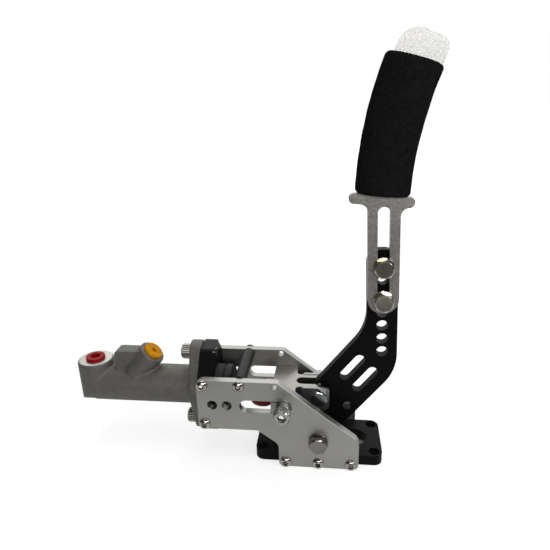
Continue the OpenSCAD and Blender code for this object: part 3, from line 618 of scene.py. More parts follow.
class MeshBench:
    """Makes and softens meshes."""

    @staticmethod
    def from_node(node: str) -> Mesh:
        """Copies a solid with its flat faces joined again.

        Args:
            node: The solid.

        Returns:
            The mesh.
        """
        made = bmesh.new()
        made.from_mesh(frame["nodes"][node].data)
        return MeshBench.unfaceted(made)

    @staticmethod
    def unfaceted(made: Mesh) -> Mesh:
        """Joins the flat faces of a mesh again.

        Args:
            made: The mesh.

        Returns:
            The same mesh.
        """
        bmesh.ops.remove_doubles(made, verts=made.verts, dist=MERGE)
        bmesh.ops.dissolve_limit(made, angle_limit=FLAT, verts=made.verts, edges=made.edges)
        return made

    @staticmethod
    def shelved(name: str, data: bpy.types.Mesh) -> Piece:
        """Puts a mesh into the scene as an object for modifiers to work on.

        Args:
            name: The object's name.
            data: The mesh.

        Returns:
            The object.
        """
        made = bpy.data.objects.new(name, data)
        bpy.context.scene.collection.objects.link(made)
        return made

    @staticmethod
    def evaluated(core: Piece) -> Mesh:
        """Takes the mesh that an object's modifiers make, and removes the object.

        Args:
            core: The object.

        Returns:
            The mesh.
        """
        graph = bpy.context.evaluated_depsgraph_get()
        skin = bpy.data.meshes.new_from_object(core.evaluated_get(graph))
        made = bmesh.new()
        made.from_mesh(skin)
        bpy.data.objects.remove(core)
        bpy.data.meshes.remove(skin)
        return made

    @staticmethod
    def joined(node: str, extra: Mesh) -> Mesh:
        """Copies a solid with more material joined to it.

        Args:
            node: The solid.
            extra: The added material.

        Returns:
            The mesh.
        """
        flat = bpy.data.meshes.new("extra")
        extra.to_mesh(flat)
        added = MeshBench.shelved("extra", flat)
        core = MeshBench.shelved("core", frame["nodes"][node].data.copy())
        join = core.modifiers.new("join", "BOOLEAN")
        join.operation = "UNION"
        join.solver = "EXACT"
        join.object = added
        made = MeshBench.unfaceted(MeshBench.evaluated(core))
        bpy.data.objects.remove(added)
        return made

    @staticmethod
    def cast(node: str, voxel: float, rounds: int) -> Mesh:
        """Copies a solid as a casting, with every edge and corner filleted.

        Args:
            node: The solid.
            voxel: The size of a mesh cell.
            rounds: The rounds of smoothing.

        Returns:
            The mesh.
        """
        core = MeshBench.shelved("core", frame["nodes"][node].data.copy())
        remesh = core.modifiers.new("skin", "REMESH")
        remesh.mode = "VOXEL"
        remesh.voxel_size = voxel
        smooth = core.modifiers.new("fillet", "SMOOTH")
        smooth.factor = 0.5
        smooth.iterations = rounds
        return MeshBench.evaluated(core)

    @staticmethod
    def round_edges(made: Mesh, width: float, segments: int = 2, edge: int = 1) -> Mesh:
        """Rounds the sharp edges.

        Args:
            made: The mesh.
            width: The width of the rounding.
            segments: The number of steps across it.
            edge: The material of the rounding; -1 takes that of the faces beside it.

        Returns:
            The same mesh.
        """
        edges = [e for e in made.edges if len(e.link_faces) == 2 and e.calc_face_angle(0.0) > SHARP]
        bmesh.ops.bevel(
            made,
            geom=edges,
            offset=width,
            offset_type="OFFSET",
            segments=segments,
            profile=0.5,
            affect="EDGES",
            clamp_overlap=True,
            material=edge,
        )
        return made

    @staticmethod
    def mark_walls(made: Mesh, across: float, face_tilt: float = 0.3) -> Mesh:
        """Gives the walls of a plate's holes and slots the second material.

        Args:
            made: The plate, which lies across Y.
            across: The width of the widest hole; 0 marks the plate's outer edges as well.
            face_tilt: The Y part of a normal above which a face belongs to the plate's sides.

        Returns:
            The same mesh.
        """
        tree = BVHTree.FromBMesh(made)
        for face in made.faces:
            if abs(face.normal.y) > face_tilt:
                continue
            start = face.calc_center_median() + face.normal * CLEAR
            if across == 0 or tree.ray_cast(start, face.normal, across)[0] is not None:
                face.material_index = 1
        return made

    @staticmethod
    def bridged(made: Mesh, rows: list[list[bmesh.types.BMVert]], loop: bool = False) -> Mesh:
        """Joins each row of corners to the next one by faces.

        Args:
            made: The mesh that holds the corners.
            rows: The rows, each of one corner or of as many as the longest.
            loop: Whether the last row joins the first.

        Returns:
            The same mesh.
        """
        steps = max(len(row) for row in rows)
        following = rows[1:] + rows[:1] if loop else rows[1:]
        for low, high in zip(rows, following):
            for k in range(steps):
                n = (k + 1) % steps
                corners = [low[k % len(low)], low[n % len(low)], high[n % len(high)], high[k % len(high)]]
                made.faces.new(dict.fromkeys(corners))
        bmesh.ops.recalc_face_normals(made, faces=made.faces)
        return made

    @staticmethod
    def turned(rings: Sequence[Ring], steps: int = 64, loop: bool = False) -> Mesh:
        """Turns a profile about +Z; a radius or height may vary with the angle.

        Args:
            rings: The profile from one end to the other.
            steps: The number of steps round it.
            loop: Whether the last ring joins the first, as in a tube.

        Returns:
            The mesh.
        """
        made = bmesh.new()
        rows: list[list[bmesh.types.BMVert]] = []
        for radius, height in rings:
            if not callable(radius) and radius == 0:
                rows.append([made.verts.new((0, 0, height))])
                continue
            row = []
            for k in range(steps):
                angle = TAU * k / steps
                r = radius(angle) if callable(radius) else radius
                z = height(angle) if callable(height) else height
                row.append(made.verts.new((r * math.cos(angle), r * math.sin(angle), z)))
            rows.append(row)
        return MeshBench.bridged(made, rows, loop)

    @staticmethod
    def prism(outline: Sequence[Pair], low: float, high: float) -> Mesh:
        """Raises an outline in X and Y from one height to another.

        Args:
            outline: The corners in order.
            low: The lower height.
            high: The upper height.

        Returns:
            The mesh.
        """
        made = bmesh.new()
        rows = [[made.verts.new((x, y, z)) for x, y in outline] for z in (low, high)]
        for row in rows:
            made.faces.new(row)
        return MeshBench.bridged(made, rows)

    @staticmethod
    def gathered(parts: Iterable[tuple[Mesh, Matrix]]) -> Mesh:
        """Joins meshes into one.

        Args:
            parts: The meshes, each with the matrix that moves it.

        Returns:
            The mesh.
        """
        whole = bmesh.new()
        for part, place in parts:
            flat = bpy.data.meshes.new("part")
            part.to_mesh(flat)
            flat.transform(place)
            whole.from_mesh(flat)
            bpy.data.meshes.remove(flat)
        return whole


def hexagon(flats: float) -> Callable[[float], float]:
    """Gives the radius of a hexagon at an angle."""
    return lambda a: flats / 2 / math.cos((a + math.pi / 6) % (math.pi / 3) - math.pi / 6)


def widened(outline: Callable[[float], float], by: float) -> Callable[[float], float]:
    """Gives the radius of a wider outline at an angle."""
    return lambda a: outline(a) + by


@dataclass(frozen=True)
class ButtonScrew:
    """A button head screw, with its seat at z = 0 and its head above."""

    d: float = 0.005
    head_d: float = 0.0095
    head_h: float = 0.0028
    grip: float = 0.0165
    key: float = 0.0036
    key_edge: float = 0.00025
    key_lip: float = 0.0002
    key_floor: Pair = (0.2, 0.13)
    rim: float = 0.12
    seat: float = 0.97
    lip: float = 0.03
    dome_angles: tuple[int, ...] = (0, 12, 24, 36, 46, 55, 62)
    steps: int = 48

    def mesh(self) -> Mesh:
        """Makes the screw.

        Returns:
            The mesh.
        """
        key = hexagon(self.key)
        head_r, top, shank = self.head_d / 2, self.head_h, self.d / 2
        rim = self.rim * top
        angles = [math.radians(degrees) for degrees in self.dome_angles]
        dome = [(head_r * math.cos(a), rim + (top - rim) * math.sin(a)) for a in angles]
        crown = dome[-1][1] + self.lip * top
        wall, middle = self.key_floor
        rings: list[Ring] = [(0, -self.grip), (shank, -self.grip), (shank, 0), (head_r * self.seat, 0)]
        rings += [*dome, (widened(key, self.key_edge), crown), (key, crown - self.key_lip)]
        rings += [(key, top * wall), (0, top * middle)]
        return MeshBench.turned(rings, self.steps)


@dataclass(frozen=True)
class BoltSet:
    """One size of bolts, nuts and washers, each with its seat at z = 0 and its head above."""

    d: float = 0.008
    pitch: float = 0.00125
    flats: float = 0.013
    head_h: float = 0.0053
    nut_h: float = 0.0064
    nut_play: float = 0.0001
    end: float = 0.001
    chamfer: float = 0.0006
    point: float = 0.0008
    thread_l: float = 0.0085
    thread_end: float = 0.0003
    thread_depth: float = 0.55
    thread_rings: int = 6
    crown_share: float = 0.95
    bevel_angle: float = 28.0
    dish: float = 0.0001
    dish_edge: float = 0.0007
    mouth: float = 0.0005
    steps: int = 72
    washer_d: float = 0.016
    washer_t: float = 0.0016
    washer_play: float = 0.0005
    cap_d: float = 0.013
    cap_h: float = 0.008
    key: float = 0.006
    key_edge: float = 0.0004
    key_floor: Pair = (0.42, 0.34)
    ribs: int = 24
    rib_depth: float = 0.0005
    rib_power: float = 0.6
    rib_steps: int = 6
    band: float = 0.0003
    band_h: float = 0.0004
    cap_round: float = 0.0007

    @property
    def crown(self) -> float:
        """Gives the radius of the flat end of a hexagon."""
        return self.flats / 2 * self.crown_share

    def bevel(self, angle: float) -> float:
        """Gives how far a hexagon's end falls away at an angle."""
        return (hexagon(self.flats)(angle) - self.crown) * math.tan(math.radians(self.bevel_angle))

    def through(self, stack: float) -> float:
        """Gives the length of a bolt through a stack of pieces and a nut."""
        return stack + self.nut_h + self.end

    def thread(self, start: float, stop: float) -> list[Ring]:
        """Gives the rings of a screw thread.

        Args:
            start: The height of the first ring.
            stop: The height of the last ring.

        Returns:
            The rings.
        """
        depth = self.thread_depth * self.pitch
        count = max(2, round(abs(stop - start) / self.pitch * self.thread_rings))

        def at(height: float) -> Callable[[float], float]:
            """Gives the radius round one ring."""
            return lambda a: self.d / 2 - depth * abs(2 * ((height / self.pitch - a / TAU) % 1) - 1)

        heights = [start + (stop - start) * k / count for k in range(count + 1)]
        return [(at(z), z) for z in heights]

    def cap(self, grip: float) -> Mesh:
        """Makes a socket head screw with a ribbed head.

        Args:
            grip: The shank's length.

        Returns:
            The mesh.
        """
        key, top = hexagon(self.key), self.cap_h

        def rib(a: float) -> float:
            """Gives the ribbed radius at an angle."""
            return self.cap_d / 2 - self.rib_depth * (0.5 - 0.5 * math.cos(self.ribs * a)) ** self.rib_power

        plain, step, shank = self.cap_d / 2 - self.band, self.band_h, self.d / 2
        wall, middle = self.key_floor
        rings: list[Ring] = [(0, -grip), (shank, -grip), (shank, 0), (plain - self.band, 0)]
        rings += [(plain, step), (rib, 2 * step), (rib, top - 3 * step), (plain, top - 2 * step)]
        rings += [(plain - self.cap_round, top), (widened(key, self.key_edge), top)]
        rings += [(key, top - self.key_edge), (key, top * wall), (0, top * middle)]
        return MeshBench.turned(rings, self.ribs * self.rib_steps)

    def hex_bolt(self, grip: float) -> Mesh:
        """Makes a hexagon bolt with a chamfered head and a threaded end.

        Args:
            grip: The shank's length.

        Returns:
            The mesh.
        """
        six, top, shank = hexagon(self.flats), self.head_h, self.d / 2
        dish = top - self.dish
        rings: list[Ring] = [(0, -grip), (shank - self.point, -grip)]
        rings += self.thread(-grip + self.chamfer, -grip + self.thread_l)
        rings += [(shank, -grip + self.thread_l + self.thread_end), (shank, 0), (six, 0)]
        rings += [(six, lambda a: top - self.bevel(a)), (self.crown, top)]
        rings += [(self.crown - self.dish_edge, dish), (0, dish)]
        return MeshBench.turned(rings, self.steps)

    def nut(self) -> Mesh:
        """Makes a nut, chamfered at both ends.

        Returns:
            The mesh.
        """
        six, top, bore = hexagon(self.flats), self.nut_h, (self.d + self.nut_play) / 2
        rings: list[Ring] = [(bore + self.mouth, 0), (self.crown, 0), (six, self.bevel)]
        rings += [(six, lambda a: top - self.bevel(a)), (self.crown, top), (bore + self.chamfer, top)]
        rings += [(bore, top - self.chamfer), (bore, self.mouth)]
        return MeshBench.turned(rings, self.steps, loop=True)

    @staticmethod
    def ring(outside: float, rise: float, bore: float, edge: float = 0.0002) -> Mesh:
        """Makes a flat ring with soft edges.

        Args:
            outside: The outside diameter.
            rise: The thickness.
            bore: The diameter of the hole.
            edge: The width of the soft edges.

        Returns:
            The mesh.
        """
        out, hole = outside / 2, bore / 2
        rings: list[Ring] = [(hole, edge), (hole + edge, 0), (out - edge, 0), (out, edge)]
        rings += [(out, rise - edge), (out - edge, rise), (hole + edge, rise), (hole, rise - edge)]
        return MeshBench.turned(rings, loop=True)

    def washer(self) -> Mesh:
        """Makes a plain washer."""
        return self.ring(self.washer_d, self.washer_t, self.d + self.washer_play)


M5 = ButtonScrew()
M8 = BoltSet()


def facing_y(side: int, x: float, y: float, z: float, turn: float = 0.0) -> Matrix:
    """Gives the place of a piece that points along one Y side.

    Args:
        side: 1 for +Y, -1 for -Y.
        x: The place along X.
        y: The distance from the middle plane.
        z: The height.
        turn: A turn about its own axis in radians.

    Returns:
        The matrix.
    """
    swung = Matrix.Rotation(-side * math.pi / 2, 4, "X") @ Matrix.Rotation(turn, 4, "Z")
    return Matrix.Translation((x, side * y, z)) @ swung


def facing_x(side: int, x: float, z: float, turn: float = 0.0) -> Matrix:
    """Gives the place of a piece on the middle plane that points along one X side.

    Args:
        side: 1 for +X, -1 for -X.
        x: The place along X.
        z: The height.
        turn: A turn about its own axis in radians.

    Returns:
        The matrix.
    """
    swung = Matrix.Rotation(side * math.pi / 2, 4, "Y") @ Matrix.Rotation(turn, 4, "Z")
    return Matrix.Translation((x, 0.0, z)) @ swung


@dataclass
class Assembly:
    """A sub-assembly: builds its pieces, then dresses them."""

    made: dict[str, Piece] = field(default_factory=dict, init=False)

    def build(self) -> None:
        """Makes the pieces."""
        raise NotImplementedError

    def dress(self) -> None:
        """Gives the pieces their finishes."""
        raise NotImplementedError

    def place(self, node: str, shape: Mesh, flat: bool = True) -> Piece:
        """Puts a piece in the place of a solid, on the solid's own body.

        Args:
            node: The solid that the piece stands for.
            shape: The piece's mesh.
            flat: Whether its flat faces keep flat shading up to their rounded edges.

        Returns:
            The piece.
        """
        mesh = bpy.data.meshes.new(node)
        shape.to_mesh(mesh)
        shape.free()
        mesh.shade_smooth()
        mesh.set_sharp_from_angle(angle=SHARP)
        piece = bpy.data.objects.new(f"{node}_piece", mesh)
        bpy.context.scene.collection.objects.link(piece)
        if flat:
            piece.modifiers.new("flat_faces", "WEIGHTED_NORMAL").keep_sharp = True
        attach(piece, frame["nodes"][node]["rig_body"])
        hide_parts(node)
        self.made[node] = piece
        LOG.info("%s: %d faces", piece.name, len(mesh.polygons))
        return piece

    def copy(self, node: str, width: float) -> Piece:
        """Places a copy of a solid with its edges rounded to a width."""
        return self.place(node, MeshBench.round_edges(MeshBench.from_node(node), width))

    def plate(self, node: str, width: float, across: float) -> Piece:
        """Places a copy of a flat plate, with chamfered edges and walls of their own finish.

        Args:
            node: The solid.
            width: The width of the chamfer.
            across: The width of its widest hole; 0 takes in its outer edges as well.

        Returns:
            The piece.
        """
        shape = MeshBench.mark_walls(MeshBench.from_node(node), across)
        edge = 1 if across == 0 else -1
        return self.place(node, MeshBench.round_edges(shape, width, segments=1, edge=edge))

    def fasten(self, node: str, *parts: tuple[Mesh, Matrix]) -> Piece:
        """Places fasteners, each moved by its matrix, as one piece."""
        return self.place(node, MeshBench.gathered(parts))

    def finish(self, finish: Finishes, *nodes: str, edge: Finishes | None = None) -> None:
        """Gives pieces a finish.

        Args:
            finish: The finish of the faces.
            *nodes: The solids that the pieces stand for.
            edge: The finish of the rounded edges, where it differs.
        """
        for node in nodes:
            mesh = self.made[node].data
            mesh.materials.clear()
            mesh.materials.append(finish.value.material())
            mesh.materials.append((edge or finish).value.material())


@dataclass
class SideFrame(Assembly):
    """Base plate, side plates and what ties them together."""

    outer_y: float = 0.0305
    foot_x: tuple[float, ...] = (-0.0264, 0.0, 0.0264)
    foot_z: float = 0.0045
    mount_x: float = -0.092
    mount_z: Pair = (0.038, 0.0736)
    spacer: Pair = (-0.0627, 0.0742)
    first_turn: float = 0.4
    next_turn: float = 0.7
    base_edge: float = 0.0007
    plate_edge: float = 0.0008
    mount_edge: float = 0.0006
    bar_edge: float = 0.0004

    def screws(self, node: str, places: Iterable[Pair]) -> None:
        """Places button screws through both side plates.

        Args:
            node: The solid that they stand for.
            places: Their places in X and Z.
        """
        parts = []
        for k, (x, z) in enumerate(places):
            turn = self.first_turn + self.next_turn * k
            parts += [(M5.mesh(), facing_y(side, x, self.outer_y, z, turn)) for side in SIDES]
        self.fasten(node, *parts)

    def build(self) -> None:
        """Makes the plates, the bar and the screws."""
        self.copy("base_plate", self.base_edge)
        self.plate("right_side_plate", self.plate_edge, 0.0)
        self.plate("left_side_plate", self.plate_edge, 0.0)
        self.copy("cylinder_mount_plate", self.mount_edge)
        self.copy("spacer_bar", self.bar_edge)
        self.screws("base_screws", ((x, self.foot_z) for x in self.foot_x))
        self.screws("mount_plate_screws", ((self.mount_x, z) for z in self.mount_z))
        self.screws("spacer_screws", [self.spacer])

    def dress(self) -> None:
        """Paints the base, leaves the plates silver and the screws bright."""
        self.finish(Finishes.BLACK_STEEL, "base_plate")
        self.finish(Finishes.SATIN_PLATE, "right_side_plate", "left_side_plate", edge=Finishes.PLATE_EDGE)
        self.finish(Finishes.BLACK_ANODISED, "cylinder_mount_plate")
        self.finish(Finishes.GREY_ANODISED, "spacer_bar")
        self.finish(Finishes.STAINLESS, "base_screws", "mount_plate_screws", "spacer_screws")


@dataclass
class MasterCylinder(Assembly):
    """Cast cylinder with its ports, plugs, piston, boot and flange bolts."""

    axis_z: float = 0.0558
    flange_front: float = -0.107
    mount_rear: float = -0.087
    bolt_rise: float = 0.0316
    bolt_grip: float = 0.021
    outlet: Point = (-0.194, 0.0, 0.0777)
    outlet_reach: float = 0.0138
    inlet: Point = (-0.1415, 0.0, 0.0858)
    inlet_lean: float = 40.0
    inlet_reach: float = 0.01035
    face_band: float = 0.0008
    voxel: float = 0.0008
    cast_rounds: int = 6
    spring_start: float = -0.195
    spring_stop: float = -0.1176
    spring_turns: int = 8
    turn_steps: int = 28
    wire_d: float = 0.0018
    wire_sides: int = 10
    coil_r: float = 0.0074
    boot_rear: float = -0.065
    boot_r: float = 0.018
    boot_wall: float = 0.0016
    boot_steps: int = 72
    cuff: float = 0.25
    cavity: float = 0.28
    spigot_r: float = 0.01405
    rod_r: float = 0.00405
    travel: float = 0.0122
    plug_edge: float = 0.00025
    circlip_edge: float = 0.00015
    piston_edge: float = 0.0003
    seal_edge: float = 0.0002

    def body(self) -> Mesh:
        """Makes the casting, with its two port faces cut flat again.

        Returns:
            The mesh.
        """
        made = MeshBench.cast("master_cylinder_body", self.voxel, self.cast_rounds)
        lean = math.radians(self.inlet_lean)
        faces = (
            (Vector(self.outlet), Vector((0, 0, 1)), self.outlet_reach),
            (Vector(self.inlet), Vector((math.sin(lean), 0, math.cos(lean))), self.inlet_reach),
        )
        for centre, up, reach in faces:
            for vert in made.verts:
                offset = vert.co - centre
                height = offset.dot(up)
                if abs(height) < self.face_band and (offset - up * height).length < reach:
                    vert.co -= up * height
        for face in made.faces:
            face.smooth = True
        return made

    def spring(self) -> Mesh:
        """Makes the coil spring between the bore's end and the piston.

        Returns:
            The mesh.
        """
        made = bmesh.new()
        steps, wire_r = self.spring_turns * self.turn_steps, self.wire_d / 2
        length = self.spring_stop - self.spring_start - self.wire_d
        rows = []
        for i in range(steps + 1):
            x = self.spring_start + wire_r + length * i / steps
            a = TAU * i / self.turn_steps
            row = []
            for k in range(self.wire_sides):
                w = TAU * k / self.wire_sides
                r = self.coil_r + wire_r * math.cos(w)
                place = (x + wire_r * math.sin(w), r * math.cos(a), self.axis_z + r * math.sin(a))
                row.append(made.verts.new(place))
            rows.append(row)
        made.faces.new(rows[0])
        made.faces.new(rows[-1])
        return MeshBench.bridged(made, rows)

    def boot(self) -> Mesh:
        """Makes the bellows from the spigot down to the pushrod.

        Returns:
            The mesh.
        """
        length = self.boot_rear - self.mount_rear
        outer = [(0.98, 0.0), (1.0, 0.02), (1.0, 0.25), (0.98, 0.27), (0.93, 0.29), (0.92, 0.31)]
        outer += [(0.93, 0.33), (0.98, 0.36), (1.0, 0.39), (1.0, 0.56), (0.97, 0.61), (0.9, 0.65)]
        outer += [(0.78, 0.68), (0.62, 0.7), (0.5, 0.72), (0.42, 0.74), (0.36, 0.78), (0.33, 0.83)]
        outer += [(0.33, 0.97), (0.31, 1.0)]
        inner = [(share, at) for share, at in reversed(outer) if at > self.cavity]
        rings: list[Ring] = [(self.boot_r * share, length * at) for share, at in outer]
        rings += [(max(self.rod_r, self.boot_r * share - self.boot_wall), length * at) for share, at in inner]
        rings += [(self.spigot_r, length * self.cuff), (self.spigot_r, 0.0)]
        tube = MeshBench.turned(rings, self.boot_steps, loop=True)
        tube.transform(facing_x(1, self.mount_rear, self.axis_z))
        return tube

    def squashed(self, piece: Piece, start: float, stop: float) -> None:
        """Gives a piece its own copy of its mesh.

        Args:
            piece: The piece.
            start: The X of its fixed end; not used.
            stop: The X of its moving end; not used.
        """
        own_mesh(piece)

    def build(self) -> None:
        """Makes the casting and everything in it and on it."""
        self.place("master_cylinder_body", self.body(), flat=False)
        self.copy("outlet_plug", self.plug_edge)
        self.copy("inlet_plug", self.plug_edge)
        heights = [self.axis_z + side * self.bolt_rise for side in SIDES]
        bolts = [(M8.cap(self.bolt_grip), facing_x(-1, self.flange_front, z)) for z in heights]
        self.fasten("cylinder_bolts", *bolts)
        self.copy("cylinder_circlip", self.circlip_edge)
        self.copy("piston", self.piston_edge)
        self.copy("piston_seals", self.seal_edge)
        coil = self.place("return_spring", self.spring(), flat=False)
        self.squashed(coil, self.spring_start, self.spring_stop)
        boot = self.place("dust_boot", self.boot(), flat=False)
        self.squashed(boot, self.mount_rear, self.boot_rear)

    def dress(self) -> None:
        """Leaves the casting grey, the plugs in colour and the boot black."""
        self.finish(Finishes.CAST, "master_cylinder_body")
        self.finish(Finishes.RED_PLASTIC, "outlet_plug")
        self.finish(Finishes.YELLOW_PLASTIC, "inlet_plug")
        self.finish(Finishes.STAINLESS, "cylinder_bolts")
        self.finish(Finishes.SPRING, "return_spring", "cylinder_circlip")
        self.finish(Finishes.MACHINED, "piston")
        self.finish(Finishes.DUSTY_RUBBER, "dust_boot")
        self.finish(Finishes.BLACK_RUBBER, "piston_seals")


@dataclass
class Drive(Assembly):
    """Pushrod, crosshead and what is bolted to it."""

    axis_z: float = 0.0558
    rod_front: float = -0.097
    rod_rear: float = -0.0244
    nose_angles: tuple[float, ...] = (0.5, 0.9, 1.25, 1.57)
    thread_front: float = -0.068
    thread_lead: float = 0.0004
    rod_chamfer: float = 0.0008
    rod_steps: int = 32
    cross_front: float = -0.0384
    cross_rear: float = -0.019
    cross_h: float = 0.014
    cross_edge: float = 0.0005
    prong_in: float = 0.005
    prong_out: float = 0.0096
    notch_r: float = 0.0049
    corner_r: float = 0.0034
    arc_steps: int = 8
    sink: float = 0.0003
    guide_x: float = -0.0276
    guide_grip: float = 0.0202
    guide_turn: float = 0.3
    tongue_out: float = 0.0308
    shoulder_d: float = 0.0124
    shoulder_l: float = 0.0057
    stop_edge: float = 0.0004
    cheek_edge: float = 0.0004
    cheek_out: float = 0.0121
    pin_x: float = 0.0
    pin_turn: float = 0.2

    def pushrod(self) -> Mesh:
        """Makes the rod with its round nose and its threaded rear.

        Returns:
            The mesh.
        """
        r, length = M8.d / 2, self.rod_rear - self.rod_front
        thread = self.thread_front - self.rod_front
        nose = [(r * math.sin(a), r * (1 - math.cos(a))) for a in self.nose_angles]
        rings: list[Ring] = [(0, 0), *nose, (r, thread)]
        rings += M8.thread(thread + self.thread_lead, length - M8.chamfer)
        rings += [(r - self.rod_chamfer, length), (0, length)]
        rod = MeshBench.turned(rings, self.rod_steps)
        rod.transform(facing_x(1, self.rod_front, self.axis_z))
        return rod

    def corner(self, wall: float, way: int, r: float) -> Mesh:
        """Makes the fillet between the crosshead's rear face and one side of a prong.

        Args:
            wall: The Y of the prong's side.
            way: The way along Y that it faces.
            r: The fillet's radius.

        Returns:
            The mesh, sunk a little into both.
        """
        rear, back = self.cross_rear, self.cross_rear - self.sink
        arc = [math.pi / 2 * k / self.arc_steps for k in range(self.arc_steps + 1)]
        outline = [(back, wall - way * self.sink), (rear + r, wall - way * self.sink)]
        outline += [(rear + r * (1 - math.sin(a)), wall + way * r * (1 - math.cos(a))) for a in arc]
        outline.append((back, wall + way * r))
        return MeshBench.prism(outline, self.axis_z - self.cross_h / 2, self.axis_z + self.cross_h / 2)

    def crosshead(self) -> Mesh:
        """Makes the crosshead, with round ends to the notches beside its prongs.

        Returns:
            The mesh.
        """
        fillets = []
        for side in reversed(SIDES):
            fillets.append((self.corner(side * self.prong_out, side, self.corner_r), Matrix()))
            fillets.append((self.corner(side * self.prong_in, -side, self.notch_r), Matrix()))
        whole = MeshBench.joined("crosshead", MeshBench.gathered(fillets))
        return MeshBench.round_edges(whole, self.cross_edge)

    def guides(self) -> list[tuple[Mesh, Matrix]]:
        """Makes the two shouldered guide screws.

        Returns:
            The screws and their shoulders, each with its place.
        """
        parts = []
        seat = self.tongue_out + self.shoulder_l
        for side in SIDES:
            collar = M8.ring(self.shoulder_d, self.shoulder_l, M8.d)
            parts.append(
                (M8.cap(self.guide_grip), facing_y(side, self.guide_x, seat, self.axis_z, self.guide_turn))
            )
            parts.append((collar, facing_y(side, self.guide_x, self.tongue_out, self.axis_z)))
        return parts

    def build(self) -> None:
        """Makes the rod, the crosshead and their fasteners."""
        self.place("pushrod", self.pushrod(), flat=False)
        nut_front = self.cross_front - M8.nut_h
        self.fasten("pushrod_locknut", (M8.nut(), facing_x(1, nut_front, self.axis_z, math.pi / 6)))
        self.place("crosshead", self.crosshead())
        self.fasten("guide_screws", *self.guides())
        self.copy("bump_stop", self.stop_edge)
        self.copy("clevis_cheeks", self.cheek_edge)
        bolt = M8.hex_bolt(M8.through(2 * self.cheek_out))
        pin = (self.pin_x, self.cheek_out, self.axis_z)
        self.fasten("clevis_bolt", (bolt, facing_y(-1, *pin, self.pin_turn)))
        self.fasten("clevis_nut", (M8.nut(), facing_y(1, *pin)))

    def dress(self) -> None:
        """Gives the drive its machined, plated and red finishes."""
        self.finish(Finishes.ZINC, "pushrod", "pushrod_locknut")
        self.finish(Finishes.SATIN_ZINC, "clevis_cheeks")
        self.finish(Finishes.BLUE_ZINC, "clevis_bolt", "clevis_nut")
        self.finish(Finishes.MACHINED, "crosshead")
        self.finish(Finishes.BRIGHT_ZINC, "guide_screws")
        self.finish(Finishes.RED_RUBBER, "bump_stop")


@dataclass
class Pivot(Assembly):
    """The bolt that the lever turns on, with its washers, tubes and bushing."""

    x: float = 0.0
    z: float = 0.0255
    outer_y: float = 0.0305
    bolt_turn: float = 0.6
    spacer_edge: float = 0.0004
    bushing_edge: float = 0.0003

    def build(self) -> None:
        """Makes the pivot's pieces."""
        seat = self.outer_y + M8.washer_t
        bolt = M8.hex_bolt(M8.through(2 * seat))
        self.fasten("pivot_bolt", (bolt, facing_y(-1, self.x, seat, self.z, self.bolt_turn)))
        self.fasten("pivot_nut", (M8.nut(), facing_y(1, self.x, seat, self.z)))
        washers = [(M8.washer(), facing_y(side, self.x, self.outer_y, self.z)) for side in SIDES]
        self.fasten("pivot_washers", *washers)
        self.copy("pivot_spacers", self.spacer_edge)
        self.copy("pivot_bushing", self.bushing_edge)

    def dress(self) -> None:
        """Plates the steel and leaves the bushing bronze."""
        self.finish(Finishes.ZINC, "pivot_bolt", "pivot_nut", "pivot_washers", "pivot_spacers")
        self.finish(Finishes.BRONZE, "pivot_bushing")


@dataclass
class Arm:
    """The straight upper row of the lever, which carries the handle."""

    x: float = 0.0496
    z: float = 0.0944
    lean: float = 2.3

    def at(self, along: float, side: float = 0.0) -> Pair:
        """Gives a place in X and Z.

        Args:
            along: The distance up the arm.
            side: The distance to the rear of its middle.

        Returns:
            X and Z.
        """
        a = math.radians(self.lean)
        return (
            self.x - along * math.sin(a) + side * math.cos(a),
            self.z + along * math.cos(a) + side * math.sin(a),
        )


@dataclass
class Lever(Assembly):
    """Cranked lever plate and the two bolts that clamp the handle."""

    arm: Arm = field(default_factory=Arm)
    bolt_along: Pair = (0.0461, 0.0724)
    first_turn: float = 0.25
    next_turn: float = 0.5
    slot_across: float = 0.03
    head_y: float = 0.0118
    lever_y: float = 0.004
    plate_edge: float = 0.0006

    def build(self) -> None:
        """Makes the lever and its bolts."""
        self.plate("lever_plate", self.plate_edge, self.slot_across)
        places = [self.arm.at(along) for along in self.bolt_along]
        grip = M8.through(self.head_y + self.lever_y)
        seat = self.head_y - M8.washer_t
        bolts = [
            (M8.hex_bolt(grip), facing_y(-1, x, self.head_y, z, self.first_turn + self.next_turn * k))
            for k, (x, z) in enumerate(places)
        ]
        self.fasten("handle_bolts", *bolts)
        self.fasten("handle_nuts", *((M8.nut(), facing_y(1, x, self.lever_y, z)) for x, z in places))
        self.fasten("handle_washers", *((M8.washer(), facing_y(-1, x, seat, z)) for x, z in places))

    def dress(self) -> None:
        """Paints the lever and plates its bolts."""
        self.finish(Finishes.BLACK_STEEL, "lever_plate", edge=Finishes.BORE_WALL)
        self.finish(Finishes.NICKEL, "handle_bolts", "handle_nuts", "handle_washers")


